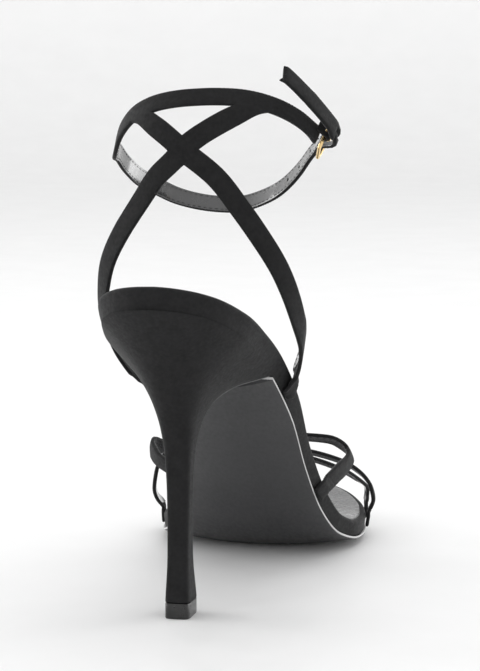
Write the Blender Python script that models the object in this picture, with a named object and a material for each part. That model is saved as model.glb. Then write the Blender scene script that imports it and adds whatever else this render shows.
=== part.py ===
"""A strappy sandal on a high stiletto heel: the right shoe of a pair.

Metres, +Z up. +Y runs towards the toe and +X towards the outer side of the foot. The origin is
the centre of the heel tip's face on the floor. Lengths along the shoe are given as runs from the
back of the seat, and every table holds shares of the named sizes.
"""
import math

import bmesh
import bpy
from mathutils import Vector
from mathutils.geometry import delaunay_2d_cdt

# Footbed seen from above
RUN = 0.2106
SETBACK = 0.0334
SEAT_WIDTH = 0.0502
WAIST_WIDTH = 0.0440
BALL_WIDTH = 0.0740

# Footbed seen from the side
SEAT_RIM = 0.1062
BALL_RIM = 0.0087
TOE_SPRING = 0.0040
WALL = 0.0080
RIM_ROUNDING = 0.0016
INSOLE_DISH = 0.0008
WAIST_TUCK = 0.0032

# Sole and heel
GAP = 0.0003
SOLE_EDGE = 0.0009
SOLE_CROWN = 0.0034
SOLE_LIP = 0.0005
BREAST_RUN = 0.0570
TIP_WIDTH = 0.0080
TIP_LENGTH = 0.0122
TIP_HEIGHT = 0.0050
SEAT_INSET = 0.0004

# Straps
STRAP_WIDTH = 0.0066
LOOP_WIDTH = 0.0060
STRAP_THICKNESS = 0.0014
TOE_STRAP_WIDTH = 0.0070
THIN_STRAP_WIDTH = 0.0036

# Ring that the ankle straps lie on, around the leg
LEG_RUN = 0.0660
LEG_BACK = 0.0280
LEG_FRONT = 0.0290
LEG_OUTER = 0.0370
LEG_INNER = 0.0300
LOOP_HEIGHT = 0.1500
LOOP_LEAN = 0.65
LEAN_REACH = 0.0050

# Buckle
WIRE = 0.0012
FRAME_LENGTH = 0.0126
FRAME_CORNER = 0.0020
HEEL_BAR_ANGLE = -280.7
HEEL_BAR_RISE = 0.9975
FRONT_BAR_ANGLE = -266.8
FRONT_BAR_RISE = 0.9740
PRONG_THICKNESS = 0.0008
KEEPER_THICKNESS = 0.0008
KEEPER_WIDTH = 0.0050
SLOT_WIDTH = 0.0015
SLOT_FIRST = -0.0030
SLOT_LAST = 0.0024
HOLE_ANGLES = (-282.0, -279.0, -276.0, -273.5, -271.0)

# Form that the toe straps lie on, over the toes
VAMP_HEIGHT = 0.0440
ROOT_RISE = 0.0045
ROOT_BEND = 0.0006
ROOT_GAP = 0.0004
ARC = 0.00056
GIRTH_LENGTH = 0.0600

# How finely the solids are faceted
PLAN_STEP = 0.0003
FOOTBED_ROWS = 44
FOOTBED_COLUMNS = 6
FOOTBED_BUNCHING = 0.6
SOLE_ROWS = 30
SOLE_COLUMNS = 8
SOLE_BUNCHING = 0.5
HEEL_SIDE = 12
HEEL_COLUMNS = 6
HEEL_STEPS = 2
BREAST_CORNER_ANGLE = 135.0
WALL_BELLY = 0.35
PATTERN_STEP = 0.0001
PATTERN_WELD = 0.00001
ANKLE_FACETS = 3
VAMP_FACETS = 3
HEM_FIRST = 75.0
HEM_STEP = 2.5
HEM_POINTS = 17
HEM_DEPTHS = (0.0, 0.5, 1.0)
HEM_TOP = 0.60
CREASE_GIRTHS = (0.84, 0.92, 1.0)
CREASE_FIRST = 0.40
CREASE_LAST = 0.95
CORNER_FACETS = 4
WIRE_FACETS = 8
PRONG_FACETS = 2

# run share, the width it follows, outer share, inner share
PLAN = (
    (0.0000, SEAT_WIDTH, 0.000, 0.000),
    (0.0142, SEAT_WIDTH, 0.179, 0.230),
    (0.0475, SEAT_WIDTH, 0.343, 0.370),
    (0.1045, SEAT_WIDTH, 0.470, 0.450),
    (0.1900, SEAT_WIDTH, 0.518, 0.488),
    (0.2754, SEAT_WIDTH, 0.542, 0.426),
    (0.3704, WAIST_WIDTH, 0.641, 0.395),
    (0.4653, WAIST_WIDTH, 0.641, 0.359),
    (0.5508, BALL_WIDTH, 0.405, 0.273),
    (0.6363, BALL_WIDTH, 0.447, 0.405),
    (0.7123, BALL_WIDTH, 0.486, 0.489),
    (0.7882, BALL_WIDTH, 0.477, 0.523),
    (0.8642, BALL_WIDTH, 0.422, 0.492),
    (0.9307, BALL_WIDTH, 0.314, 0.381),
    (0.9758, BALL_WIDTH, 0.189, 0.227),
    (1.0000, BALL_WIDTH, 0.000, 0.000),
)

# run share, fall of the rim from seat to ball, toe spring, wall, outer tuck, inner tuck
PROFILE = (
    (0.0000, 1.000, 0.00, 0.90, 0.00, 0.00),
    (0.0142, 0.990, 0.00, 0.90, 0.02, 0.02),
    (0.0475, 0.961, 0.00, 0.90, 0.20, 0.12),
    (0.1045, 0.903, 0.00, 0.88, 0.50, 0.28),
    (0.1900, 0.820, 0.00, 0.86, 0.80, 0.45),
    (0.2754, 0.725, 0.00, 0.88, 1.00, 0.60),
    (0.3704, 0.574, 0.00, 1.00, 0.70, 0.40),
    (0.4653, 0.371, 0.00, 0.98, 0.50, 0.20),
    (0.5508, 0.191, 0.00, 0.94, 0.45, 0.12),
    (0.6363, 0.058, 0.00, 0.78, 0.35, 0.03),
    (0.7123, 0.009, 0.00, 0.70, 0.15, 0.00),
    (0.7882, 0.000, 0.03, 0.65, 0.03, 0.00),
    (0.8642, 0.000, 0.32, 0.67, 0.00, 0.00),
    (0.9307, 0.000, 0.72, 0.68, 0.00, 0.00),
    (0.9758, 0.000, 0.93, 0.66, 0.00, 0.00),
    (1.0000, 0.000, 1.00, 0.65, 0.00, 0.00),
)

# back run share, back height share, front run share, front height share of the heel's seat,
# half width share of the seat, squareness, likeness to the seat's outline
HEEL = (
    (0.502, 0.205, 0.642, 0.205, 0.146, 6.0, 0.00),
    (0.509, 0.368, 0.635, 0.358, 0.154, 5.0, 0.00),
    (0.491, 0.510, 0.642, 0.475, 0.176, 4.0, 0.00),
    (0.447, 0.613, 0.672, 0.557, 0.228, 3.2, 0.05),
    (0.377, 0.705, 0.728, 0.628, 0.328, 2.8, 0.15),
    (0.289, 0.792, 0.807, 0.674, 0.480, 2.6, 0.35),
    (0.184, 0.878, 0.886, 0.705, 0.680, 2.4, 0.60),
    (0.079, 0.950, 0.956, 0.722, 0.860, 2.2, 0.85),
)

# height share of the ankle loop, outer share, inner share of the leg's half widths
LEG = (
    (0.435, 0.700, 0.620),
    (0.455, 0.780, 0.680),
    (0.482, 0.850, 0.780),
    (0.535, 0.895, 0.940),
    (0.590, 0.925, 1.060),
    (0.660, 0.960, 1.140),
    (0.740, 0.990, 1.190),
    (0.810, 0.990, 1.150),
    (0.900, 1.000, 0.970),
    (0.960, 1.020, 0.945),
    (1.000, 1.070, 0.940),
    (1.060, 1.060, 0.940),
    (1.120, 1.020, 0.940),
)

# angle from the back in degrees, share of the outer half width that a taut strap keeps
TAUT = (
    (80.0, 1.00),
    (94.0, 0.96),
    (114.0, 0.85),
    (136.0, 0.74),
    (159.0, 0.62),
    (180.0, 0.60),
)

# angle in degrees, lift in strap thicknesses of the strap that passes through the buckle
LIFT = (
    (-315.0, 3.6),
    (-302.0, 3.1),
    (-292.0, 3.1),
    (-281.0, 3.5),
    (-278.0, 3.4),
    (-268.0, 0.0),
    (-262.0, 0.0),
)

# angle in degrees from the back, height share of the ankle loop, share of the strap's width
OUTER_RISE = (
    (104.0, 0.425, 1.0),
    (101.0, 0.460, 1.0),
    (96.0, 0.495, 1.0),
    (87.0, 0.546, 1.0),
    (73.0, 0.604, 1.0),
    (59.0, 0.679, 1.0),
    (42.3, 0.772, 1.0),
    (29.0, 0.845, 1.0),
    (16.5, 0.910, 1.0),
    (4.0, 0.953, 1.0),
    (-6.0, 0.984, 1.0),
    (-17.0, 1.010, 1.0),
    (-29.0, 1.030, 0.8),
    (-40.0, 1.028, 0.5),
)
INNER_RISE = (
    (-101.0, 0.415, 1.0),
    (-96.0, 0.450, 1.0),
    (-89.0, 0.482, 1.0),
    (-80.0, 0.530, 1.0),
    (-72.5, 0.566, 1.0),
    (-65.5, 0.613, 1.0),
    (-57.5, 0.661, 1.0),
    (-45.5, 0.737, 1.0),
    (-32.3, 0.815, 1.0),
    (-17.0, 0.905, 1.0),
    (-3.5, 0.948, 1.0),
    (4.0, 0.978, 1.0),
    (14.0, 1.009, 1.0),
    (25.0, 1.035, 0.95),
    (34.0, 1.050, 0.75),
    (44.0, 1.050, 0.45),
)
LOOP = (
    (74.6, 0.990, 1.0),
    (68.0, 1.003, 1.0),
    (58.0, 1.026, 1.0),
    (43.0, 1.053, 1.0),
    (29.0, 1.068, 1.0),
    (15.0, 1.072, 1.0),
    (0.0, 1.069, 1.0),
    (-20.0, 1.057, 1.0),
    (-37.0, 1.036, 1.0),
    (-53.0, 1.003, 1.0),
    (-71.0, 0.960, 1.0),
    (-90.0, 0.948, 1.0),
    (-103.0, 0.924, 1.0),
    (-118.0, 0.896, 1.0),
    (-136.0, 0.871, 1.0),
    (-152.0, 0.848, 1.0),
    (-168.0, 0.834, 1.0),
    (-184.0, 0.830, 1.0),
    (-201.0, 0.836, 1.0),
    (-224.0, 0.865, 1.0),
    (-245.0, 0.916, 1.0),
    (-258.0, 0.957, 1.0),
    (-268.0, 0.976, 1.0),
    (-275.0, 0.988, 1.0),
    (-281.0, 0.998, 1.0),
    (-292.0, 1.030, 1.0),
    (-303.0, 1.066, 1.0),
    (-315.0, 1.106, 1.0),
)

# run share, outer and inner girdle of the ball's width, height of the vamp, outer and inner roundness
GIRDLE = (
    (0.480, 0.390, 0.290, 1.10, 0.0, 0.0),
    (0.520, 0.420, 0.320, 1.06, 0.0, 0.0),
    (0.560, 0.450, 0.410, 1.03, 0.0, 0.0),
    (0.608, 0.470, 0.470, 0.99, 0.0, 0.2),
    (0.640, 0.478, 0.475, 0.94, 0.1, 0.8),
    (0.665, 0.485, 0.495, 0.88, 0.4, 1.0),
    (0.710, 0.508, 0.535, 0.77, 1.0, 1.0),
    (0.750, 0.522, 0.550, 0.67, 1.0, 1.0),
    (0.790, 0.515, 0.540, 0.57, 1.0, 1.0),
    (0.850, 0.465, 0.510, 0.46, 1.0, 1.0),
    (1.000, 0.200, 0.260, 0.40, 1.0, 1.0),
)

# girth share from the top down, then width and rise shares where boxy and where rounded
VAULT = (
    (0.00, 0.00, 1.00, 0.00, 1.00),
    (0.20, 0.46, 1.00, 0.42, 0.99),
    (0.36, 0.79, 0.99, 0.73, 0.93),
    (0.48, 0.95, 0.91, 0.89, 0.80),
    (0.58, 1.00, 0.74, 0.98, 0.58),
    (0.68, 0.98, 0.50, 1.00, 0.33),
)

# girth share from the top, outer side positive, run share, share of the toe strap's width
VAMP_BAND = (
    (1.08, 0.512, 1.0),
    (1.00, 0.522, 1.0),
    (0.84, 0.545, 1.0),
    (0.72, 0.578, 1.0),
    (0.60, 0.629, 1.0),
    (0.49, 0.652, 1.0),
    (0.36, 0.643, 1.0),
    (0.20, 0.642, 1.0),
    (0.00, 0.638, 1.0),
    (-0.20, 0.648, 1.0),
    (-0.36, 0.652, 1.0),
    (-0.48, 0.640, 1.0),
    (-0.60, 0.590, 1.0),
    (-0.72, 0.560, 1.0),
    (-0.84, 0.536, 1.0),
    (-1.00, 0.502, 1.0),
    (-1.08, 0.485, 1.0),
)
REAR_TOE_STRAP = (
    (1.08, 0.800, 1.0),
    (1.00, 0.802, 1.0),
    (0.84, 0.800, 1.0),
    (0.68, 0.790, 1.0),
    (0.56, 0.768, 1.0),
    (0.42, 0.745, 1.0),
    (0.28, 0.722, 1.0),
    (0.12, 0.700, 1.0),
    (0.00, 0.684, 1.0),
    (-0.12, 0.661, 1.0),
    (-0.17, 0.648, 1.0),
)
FRONT_TOE_STRAP = (
    (1.08, 0.858, 0.8),
    (1.00, 0.856, 0.8),
    (0.84, 0.856, 0.8),
    (0.72, 0.866, 0.8),
    (0.58, 0.858, 0.8),
    (0.44, 0.825, 0.8),
    (0.28, 0.768, 0.8),
    (0.12, 0.726, 0.8),
    (0.00, 0.700, 0.8),
    (-0.12, 0.672, 0.8),
    (-0.17, 0.656, 0.8),
)
INNER_TOE_STRAP = (
    (-1.08, 0.762, 1.0),
    (-1.00, 0.763, 1.0),
    (-0.84, 0.775, 1.0),
    (-0.70, 0.722, 1.0),
    (-0.58, 0.688, 1.0),
    (-0.46, 0.678, 1.0),
    (-0.34, 0.670, 1.0),
    (-0.24, 0.662, 1.0),
    (-0.16, 0.654, 1.0),
)
RIM_GIRTH = 0.84

# along the strap and outwards from the heel bar's middle, in shares of the keeper's bend
KEEPER_FOLD = (
    (-3.00, -2.05),
    (-2.20, -1.35),
    (-1.50, -0.65),
    (-1.05, 0.05),
    (-0.70, 0.76),
    (0.00, 1.03),
    (0.60, 0.84),
    (0.94, 0.40),
    (1.03, -0.20),
    (1.03, -0.80),
)

# along the strap and outwards from the heel bar's middle, in shares of the prong's bend
PRONG_LINE = (
    (-1.02, -0.20),
    (-1.02, 0.10),
    (-0.88, 0.52),
    (-0.50, 0.90),
    (0.00, 1.02),
    (1.50, 1.04),
    (3.20, 1.04),
    (5.30, 1.03),
    (6.10, 0.98),
)


def smooth(x, xs, ys):
    """Value at x of a smooth curve through the points that never overshoots them."""
    if x <= xs[0]:
        return ys[0]
    if x >= xs[-1]:
        return ys[-1]
    slopes = [(ys[j + 1] - ys[j]) / (xs[j + 1] - xs[j]) for j in range(len(xs) - 1)]

    def tangent(j):
        if j == 0 or j == len(slopes):
            return slopes[min(j, len(slopes) - 1)]
        before, after = slopes[j - 1], slopes[j]
        return 0.0 if before * after <= 0 else 2 * before * after / (before + after)

    i = max(j for j in range(len(slopes)) if xs[j] <= x)
    span = xs[i + 1] - xs[i]
    t = (x - xs[i]) / span
    rise = ys[i + 1] - ys[i]
    start, end = tangent(i) * span, tangent(i + 1) * span
    return ys[i] + t * (start + t * (3 * rise - 2 * start - end + t * (start + end - 2 * rise)))


def looked_up(table, x, column):
    return smooth(x, [row[0] for row in table], [row[column] for row in table])


def through(points, per_span, closed=False):
    """Points of a smooth curve that passes through the given ones."""
    n = len(points)
    found = []
    spans = n if closed else n - 1

    def at(i):
        return points[i % n] if closed else points[min(max(i, 0), n - 1)]

    for i in range(spans):
        before, a, b, after = at(i - 1), at(i), at(i + 1), at(i + 2)
        d0, d1, d2 = (a - before).length, (b - a).length, (after - b).length
        start = (b - a) if d0 == 0 else ((b - a) / d1 * d0 + (a - before) / d0 * d1) / (d0 + d1) * d1
        end = (b - a) if d2 == 0 else ((after - b) / d2 * d1 + (b - a) / d1 * d2) / (d1 + d2) * d1
        for k in range(per_span):
            t = k / per_span
            found.append(
                a + t * (start + t * (3 * (b - a) - 2 * start - end + t * (start + end - 2 * (b - a))))
            )
    if not closed:
        found.append(points[-1].copy())
    return found


def plan_sides():
    """The footbed's outline as two dense lists of (run, distance from the centre line)."""
    outer = [Vector((width * out, run * RUN)) for run, width, out, _ in PLAN]
    inner = [Vector((-width * inn, run * RUN)) for run, width, _, inn in PLAN]
    ring = through(outer + inner[-2:0:-1], 12, closed=True)
    half = 12 * (len(PLAN) - 1)
    return (
        [(p.y, p.x) for p in ring[: half + 1]],
        [(p.y, -p.x) for p in [ring[0]] + ring[: half - 1 : -1]],
    )


OUTER_SIDE, INNER_SIDE = plan_sides()


def plan_x(run, side):
    """Distance of the rim from the centre line, at a run from the back of the seat."""
    points = OUTER_SIDE if side > 0 else INNER_SIDE
    if run <= points[0][0]:
        return 0.0
    for (r0, x0), (r1, x1) in zip(points, points[1:]):
        if r0 <= run <= r1 and r1 > r0:
            return x0 + (x1 - x0) * (run - r0) / (r1 - r0)
    return 0.0


def rim_z(run):
    share = run / RUN
    return (
        BALL_RIM
        + (SEAT_RIM - BALL_RIM) * looked_up(PROFILE, share, 1)
        + TOE_SPRING * looked_up(PROFILE, share, 2)
    )


def wall_at(run):
    return WALL * looked_up(PROFILE, run / RUN, 3)


def tuck_at(run, side):
    return WAIST_TUCK * looked_up(PROFILE, run / RUN, 4 if side > 0 else 5)


def seat_z(run):
    """Top of the heel, just under the footbed."""
    return rim_z(run) - wall_at(run) - GAP


def placed(x, run, z):
    return Vector((x, run - SETBACK, z))


def plan_ring(runs, inset, back_pole=True):
    """The outline moved in by inset(run, side): back pole, outer side, toe pole, inner side."""
    sides = {}
    for side in (1, -1):
        points = []
        for run in runs:
            x0, x1 = plan_x(run - PLAN_STEP, side), plan_x(run + PLAN_STEP, side)
            along = Vector((x1 - x0, 2 * PLAN_STEP)).normalized()
            far = inset(run, side)
            points.append((side * (plan_x(run, side) - far * along.y), run + far * along.x))
        sides[side] = points
    toe = [(0.0, RUN - inset(RUN, 1))]
    back = [(0.0, inset(0.0, 1))] if back_pole else []
    return back + sides[1] + toe + sides[-1][::-1]


def spread(first, last, count, bunching):
    """Count + 1 values from first to last, drawn together at both ends by the bunching share."""
    values = []
    for i in range(count + 1):
        t = i / count
        bunched = (1 - math.cos(math.pi * t)) / 2
        values.append(first + (last - first) * ((1 - bunching) * t + bunching * bunched))
    return values


def verts_of(bm, points):
    return [bm.verts.new(p) for p in points]


def band(bm, ring_a, ring_b, closed=True):
    """Faces between two rows of as many points."""
    n = len(ring_a)
    for i in range(n if closed else n - 1):
        j = (i + 1) % n
        corners = []
        for v in (ring_a[i], ring_a[j], ring_b[j], ring_b[i]):
            if v not in corners:
                corners.append(v)
        if len(corners) > 2:
            bm.faces.new(corners)


def cover(bm, ring, columns, dish, back_pole=True):
    """Faces over a ring, in rows from its outer side to its inner side. Returns the rows."""
    rows = []
    first = 1 if back_pole else 0
    pairs = (len(ring) - (2 if back_pole else 1)) // 2
    for i in range(pairs):
        a, b = ring[first + i], ring[-1 - i]
        row = [a]
        for k in range(1, columns):
            t = k / columns
            p = a.co.lerp(b.co, t)
            p.z += dish(p, 1 - (2 * t - 1) ** 2)
            row.append(bm.verts.new(p))
        rows.append(row + [b])
    for row_a, row_b in zip(rows, rows[1:]):
        band(bm, row_a, row_b, closed=False)
    poles = [(rows[-1], ring[first + pairs])]
    if back_pole:
        poles.append((rows[0], ring[0]))
    for row, pole in poles:
        for a, b in zip(row, row[1:]):
            bm.faces.new((a, b, pole))
    return rows


def finished(name, bm, material):
    """Turns the faces outwards, and makes the object."""
    bmesh.ops.recalc_face_normals(bm, faces=bm.faces)
    bmesh.ops.triangulate(bm, faces=bm.faces)
    if bm.calc_volume(signed=True) < 0:
        bmesh.ops.reverse_faces(bm, faces=bm.faces)
    mesh = bpy.data.meshes.new(name)
    bm.to_mesh(mesh)
    bm.free()
    mesh.shade_smooth()
    mesh.set_sharp_from_angle(angle=math.radians(40))
    mesh.materials.append(material)
    obj = bpy.data.objects.new(name, mesh)
    bpy.context.scene.collection.objects.link(obj)
    return obj


def material(name, colour, roughness, metallic=0.0):
    made = bpy.data.materials.new(name)
    made.use_nodes = True
    shader = made.node_tree.nodes["Principled BSDF"]
    shader.inputs["Base Color"].default_value = (*colour, 1.0)
    shader.inputs["Roughness"].default_value = roughness
    shader.inputs["Metallic"].default_value = metallic
    return made


def footbed(finish):
    """The covered insole: a thick wall all round, tucked in below, with a shallow dish on top."""
    runs = spread(0.0, RUN, FOOTBED_ROWS, FOOTBED_BUNCHING)[1:-1]
    bm = bmesh.new()

    def ring(inset, height):
        plan = plan_ring(runs, inset)
        return verts_of(bm, [placed(x, run, height(run)) for x, run in plan])

    def below(run, side):
        return tuck_at(run, side) + SOLE_LIP

    r = RIM_ROUNDING
    slant = math.sqrt(0.5)
    rings = [
        ring(below, lambda run: rim_z(run) - wall_at(run)),
        ring(lambda run, side: WALL_BELLY * below(run, side), lambda run: rim_z(run) - wall_at(run) / 2),
        ring(lambda run, side: 0.0, lambda run: rim_z(run) - r),
        ring(lambda run, side: r * (1 - slant), lambda run: rim_z(run) - r * (1 - slant)),
        ring(lambda run, side: r, rim_z),
    ]
    for low, high in zip(rings, rings[1:]):
        band(bm, low, high)
    cover(bm, rings[-1], FOOTBED_COLUMNS, lambda p, middle: -INSOLE_DISH * middle)
    cover(bm, rings[0], FOOTBED_COLUMNS, lambda p, middle: 0.0)
    return finished("footbed", bm, finish)


def outsole(finish):
    """A thin sole from the heel's breast to the toe, crowned below and flat where it stands."""
    runs = spread(BREAST_RUN + GAP, RUN, SOLE_ROWS, SOLE_BUNCHING)[:-1]
    bm = bmesh.new()
    plan = plan_ring(runs, tuck_at, back_pole=False)

    def ring(drop):
        return verts_of(bm, [placed(x, run, seat_z(run) - drop) for x, run in plan])

    def crown(p, middle):
        return max(-SOLE_CROWN * middle, -p.z)

    top, edge = ring(0.0), ring(SOLE_EDGE)
    band(bm, top[: len(runs) * 2 + 1], edge[: len(runs) * 2 + 1], closed=False)
    upper = cover(bm, top, SOLE_COLUMNS, lambda p, middle: 0.0, back_pole=False)
    lower = cover(bm, edge, SOLE_COLUMNS, crown, back_pole=False)
    band(bm, upper[0], lower[0], closed=False)
    return finished("outsole", bm, finish)


def seat_ring():
    """Top of the heel: outer side from the back, breast from outer to inner, inner side back."""
    runs = [BREAST_RUN * (1 - math.cos(math.pi * i / HEEL_SIDE)) / 2 for i in range(HEEL_SIDE + 1)]
    sides = {}
    for side in (1, -1):
        sides[side] = [
            side * max(plan_x(run, side) - tuck_at(run, side) - SEAT_INSET, 0.0) for run in runs
        ]
    ring = [(sides[1][i], runs[i]) for i in range(HEEL_SIDE + 1)]
    for k in range(1, HEEL_COLUMNS):
        t = k / HEEL_COLUMNS
        ring.append((sides[1][-1] * (1 - t) + sides[-1][-1] * t, BREAST_RUN))
    ring += [(sides[-1][i], runs[i]) for i in range(HEEL_SIDE, 0, -1)]
    return ring


def rounded_square(squareness):
    """Unit outline with as many points as the seat's, from the back round the outer side."""
    corner = math.radians(BREAST_CORNER_ANGLE)
    angles = [corner * i / HEEL_SIDE for i in range(HEEL_SIDE + 1)]
    angles += [corner + (2 * math.pi - 2 * corner) * k / HEEL_COLUMNS for k in range(1, HEEL_COLUMNS)]
    angles += [2 * math.pi - a for a in angles[HEEL_SIDE:0:-1]]
    found = []
    for a in angles:
        s, c = math.sin(a), math.cos(a)
        found.append(
            (math.copysign(abs(s) ** (2 / squareness), s), -math.copysign(abs(c) ** (2 / squareness), c))
        )
    return found


def tip_ring(height):
    shape = rounded_square(HEEL[0][5])
    return [placed(u * TIP_WIDTH / 2, SETBACK + v * TIP_LENGTH / 2, height) for u, v in shape]


def heel(finish):
    """A stiletto: a squared stem that widens backwards and sideways into the seat."""
    seat = seat_ring()
    half = max(abs(x) for x, _ in seat)
    seat_back, seat_front = seat_z(0.0), seat_z(BREAST_RUN)
    tip = TIP_HEIGHT + GAP
    bottom = (
        (SETBACK - TIP_LENGTH / 2) / BREAST_RUN,
        tip / seat_back,
        (SETBACK + TIP_LENGTH / 2) / BREAST_RUN,
        tip / seat_back,
        TIP_WIDTH / 2 / half,
        HEEL[0][5],
        0.0,
    )
    top = (0.0, 1.0, 1.0, seat_front / seat_back, 1.0, HEEL[-1][5], 1.0)
    rows = (bottom,) + HEEL + (top,)
    marks = list(range(len(rows)))
    bm = bmesh.new()
    rings = []
    steps = (len(rows) - 1) * HEEL_STEPS
    for step in range(steps + 1):
        at = step / HEEL_STEPS
        back, back_z, front, front_z, width, square, likeness = (
            smooth(at, marks, [row[c] for row in rows]) for c in range(7)
        )
        ring = []
        for (u, v), (seat_x, seat_run) in zip(rounded_square(square), seat):
            seat_v = 2 * seat_run / BREAST_RUN - 1
            x = (1 - likeness) * u * half + likeness * seat_x
            v = (1 - likeness) * v + likeness * seat_v
            t = (v + 1) / 2
            bend = seat_z(seat_run) - (seat_back + (seat_front - seat_back) * seat_run / BREAST_RUN)
            run = (back + (front - back) * t) * BREAST_RUN
            z = (back_z + (front_z - back_z) * t) * seat_back + bend * likeness**4
            ring.append(placed(x * width, run, z))
        rings.append(verts_of(bm, ring))
    for low, high in zip(rings, rings[1:]):
        band(bm, low, high)
    bm.faces.new(rings[0])
    topmost = rings[-1]
    rows = []
    for i in range(1, HEEL_SIDE):
        a, b = topmost[i], topmost[-i]
        mids = [bm.verts.new(a.co.lerp(b.co, k / HEEL_COLUMNS)) for k in range(1, HEEL_COLUMNS)]
        rows.append([a] + mids + [b])
    rows.append(topmost[HEEL_SIDE : HEEL_SIDE + HEEL_COLUMNS + 1])
    for row_a, row_b in zip(rows, rows[1:]):
        band(bm, row_a, row_b, closed=False)
    for a, b in zip(rows[0], rows[0][1:]):
        bm.faces.new((a, b, topmost[0]))
    return finished("heel", bm, finish)


def heel_top_piece(finish):
    bm = bmesh.new()
    low, high = verts_of(bm, tip_ring(0.0)), verts_of(bm, tip_ring(TIP_HEIGHT))
    band(bm, low, high)
    bm.faces.new(low)
    bm.faces.new(high)
    return finished("heel_top_piece", bm, finish)


def wall_inset(run, side, share):
    """How far the wall is tucked in, at a share of its depth below the rim."""
    below = tuck_at(run, side) + SOLE_LIP
    return below * smooth(share, (RIM_ROUNDING / wall_at(run), 0.5, 1.0), (0.0, WALL_BELLY, 1.0))


def around_leg(angle):
    """An unrolled angle brought back to one turn: 0 at the back, positive on the outer side."""
    return angle if angle > -180 else angle + 360


def leg_run(angle, height):
    """Run of the ring at an unrolled angle. Its straps stand square to the tilted loop."""
    c = math.cos(math.radians(angle))
    loop = LOOP_HEIGHT * looked_up(LOOP[::-1], angle, 1)
    lean = LOOP_LEAN * LEAN_REACH * math.tanh((height - loop) / LEAN_REACH)
    return LEG_RUN - (LEG_BACK if c > 0 else LEG_FRONT) * c + lean


def leg_point(angle, height):
    """Point of the ring around the leg, at an unrolled angle from the back."""
    around = around_leg(angle)
    side = 1 if around > 0 else -1
    share = height / LOOP_HEIGHT
    taut = looked_up(TAUT, around, 1) if side > 0 else 1.0
    half = LEG_OUTER * looked_up(LEG, share, 1) * taut if side > 0 else LEG_INNER * looked_up(LEG, share, 2)
    x = half * math.sin(math.radians(around))
    run = leg_run(angle, height)
    rim = rim_z(run)
    if height < rim + ROOT_RISE:
        depth = min(max((rim - height) / wall_at(run), 0.0), 1.0)
        wall = plan_x(run, side) + ROOT_GAP + STRAP_THICKNESS / 2 - wall_inset(run, side, depth)
        clear = (abs(x) + wall + math.hypot(abs(x) - wall, ROOT_BEND)) / 2
        x += side * (clear - abs(x)) * min((rim + ROOT_RISE - height) / ROOT_RISE, 1.0)
    return placed(x, run, height)


def vamp_point(girth, run):
    """Point of the form over the toes: girth 0 along the top, 1 at the outer edge of the sole."""
    side = 1 if girth >= 0 else -1
    share = run / RUN
    strap = GAP + STRAP_THICKNESS / 2
    girdle = BALL_WIDTH * looked_up(GIRDLE, share, 1 if side > 0 else 2)
    rise = VAMP_HEIGHT * looked_up(GIRDLE, share, 3) - rim_z(run)
    roundness = looked_up(GIRDLE, share, 4 if side > 0 else 5)
    rim = plan_x(run, side) + strap
    marks = [row[0] for row in VAULT] + [RIM_GIRTH]
    widths = [girdle * (row[1] + (row[3] - row[1]) * roundness) for row in VAULT] + [rim]
    heights = [rise * (row[2] + (row[4] - row[2]) * roundness) for row in VAULT] + [0.0]
    if abs(girth) > RIM_GIRTH:
        depth = (abs(girth) - RIM_GIRTH) / (1 - RIM_GIRTH)
        x = rim - wall_inset(run, side, min(depth, 1.0))
        return placed(side * x, run, rim_z(run) - wall_at(run) * depth)
    x = smooth(abs(girth), marks, widths)
    z = smooth(abs(girth), marks, heights)
    return placed(side * x, run, rim_z(run) + z)


def frame_at(form, at):
    """Position, the two derivatives and the outward normal of a form at a point of its pattern."""
    step = PATTERN_STEP
    here = form(at)
    du = (form(at + Vector((step, 0))) - form(at - Vector((step, 0)))) / (2 * step)
    dv = (form(at + Vector((0, step))) - form(at - Vector((0, step)))) / (2 * step)
    return here, du, dv, du.cross(dv).normalized()


def beside(form, at, along, far):
    """The pattern point that lies far to the side of a strap's middle, measured on the form."""
    here, du, dv, normal = frame_at(form, at)
    heading = (du * along.x + dv * along.y).normalized()
    side = heading.cross(normal)
    a, b, c = du.dot(du), du.dot(dv), dv.dot(dv)
    p, q = du.dot(side), dv.dot(side)
    under = a * c - b * b
    return at + far * Vector(((c * p - b * q) / under, (a * q - b * p) / under))


def strip(form, middles):
    """A strap's outline in the pattern: pairs of points on its two edges. Each middle holds its width."""
    pairs = []
    for i, (x, y, width) in enumerate(middles):
        along = (middles[min(i + 1, len(middles) - 1)] - middles[max(i - 1, 0)]).to_2d()
        pairs.append(tuple(beside(form, Vector((x, y)), along, far) for far in (width / 2, -width / 2)))
    return pairs


def cut_pattern(strips, lines, kept):
    """Lays strips over one another, and returns the points and triangles of their union."""
    points, edges, faces = [], [], []
    for pairs in strips:
        first = len(points)
        for a, b in pairs:
            points += [a, b]
        for i in range(len(pairs) - 1):
            k = first + 2 * i
            faces.append((k, k + 2, k + 3, k + 1))
    for line in lines:
        first = len(points)
        points += line
        edges += [(first + i, first + i + 1) for i in range(len(line) - 1)]
    flat, _, triangles, _, _, sources = delaunay_2d_cdt(points, edges, faces, 1, PATTERN_WELD)
    kept_triangles = []
    for corners, source in zip(triangles, sources):
        middle = sum((flat[i] for i in corners), Vector((0, 0))) / len(corners)
        if source and kept(middle):
            kept_triangles.append(tuple(corners))
    return flat, kept_triangles


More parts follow.
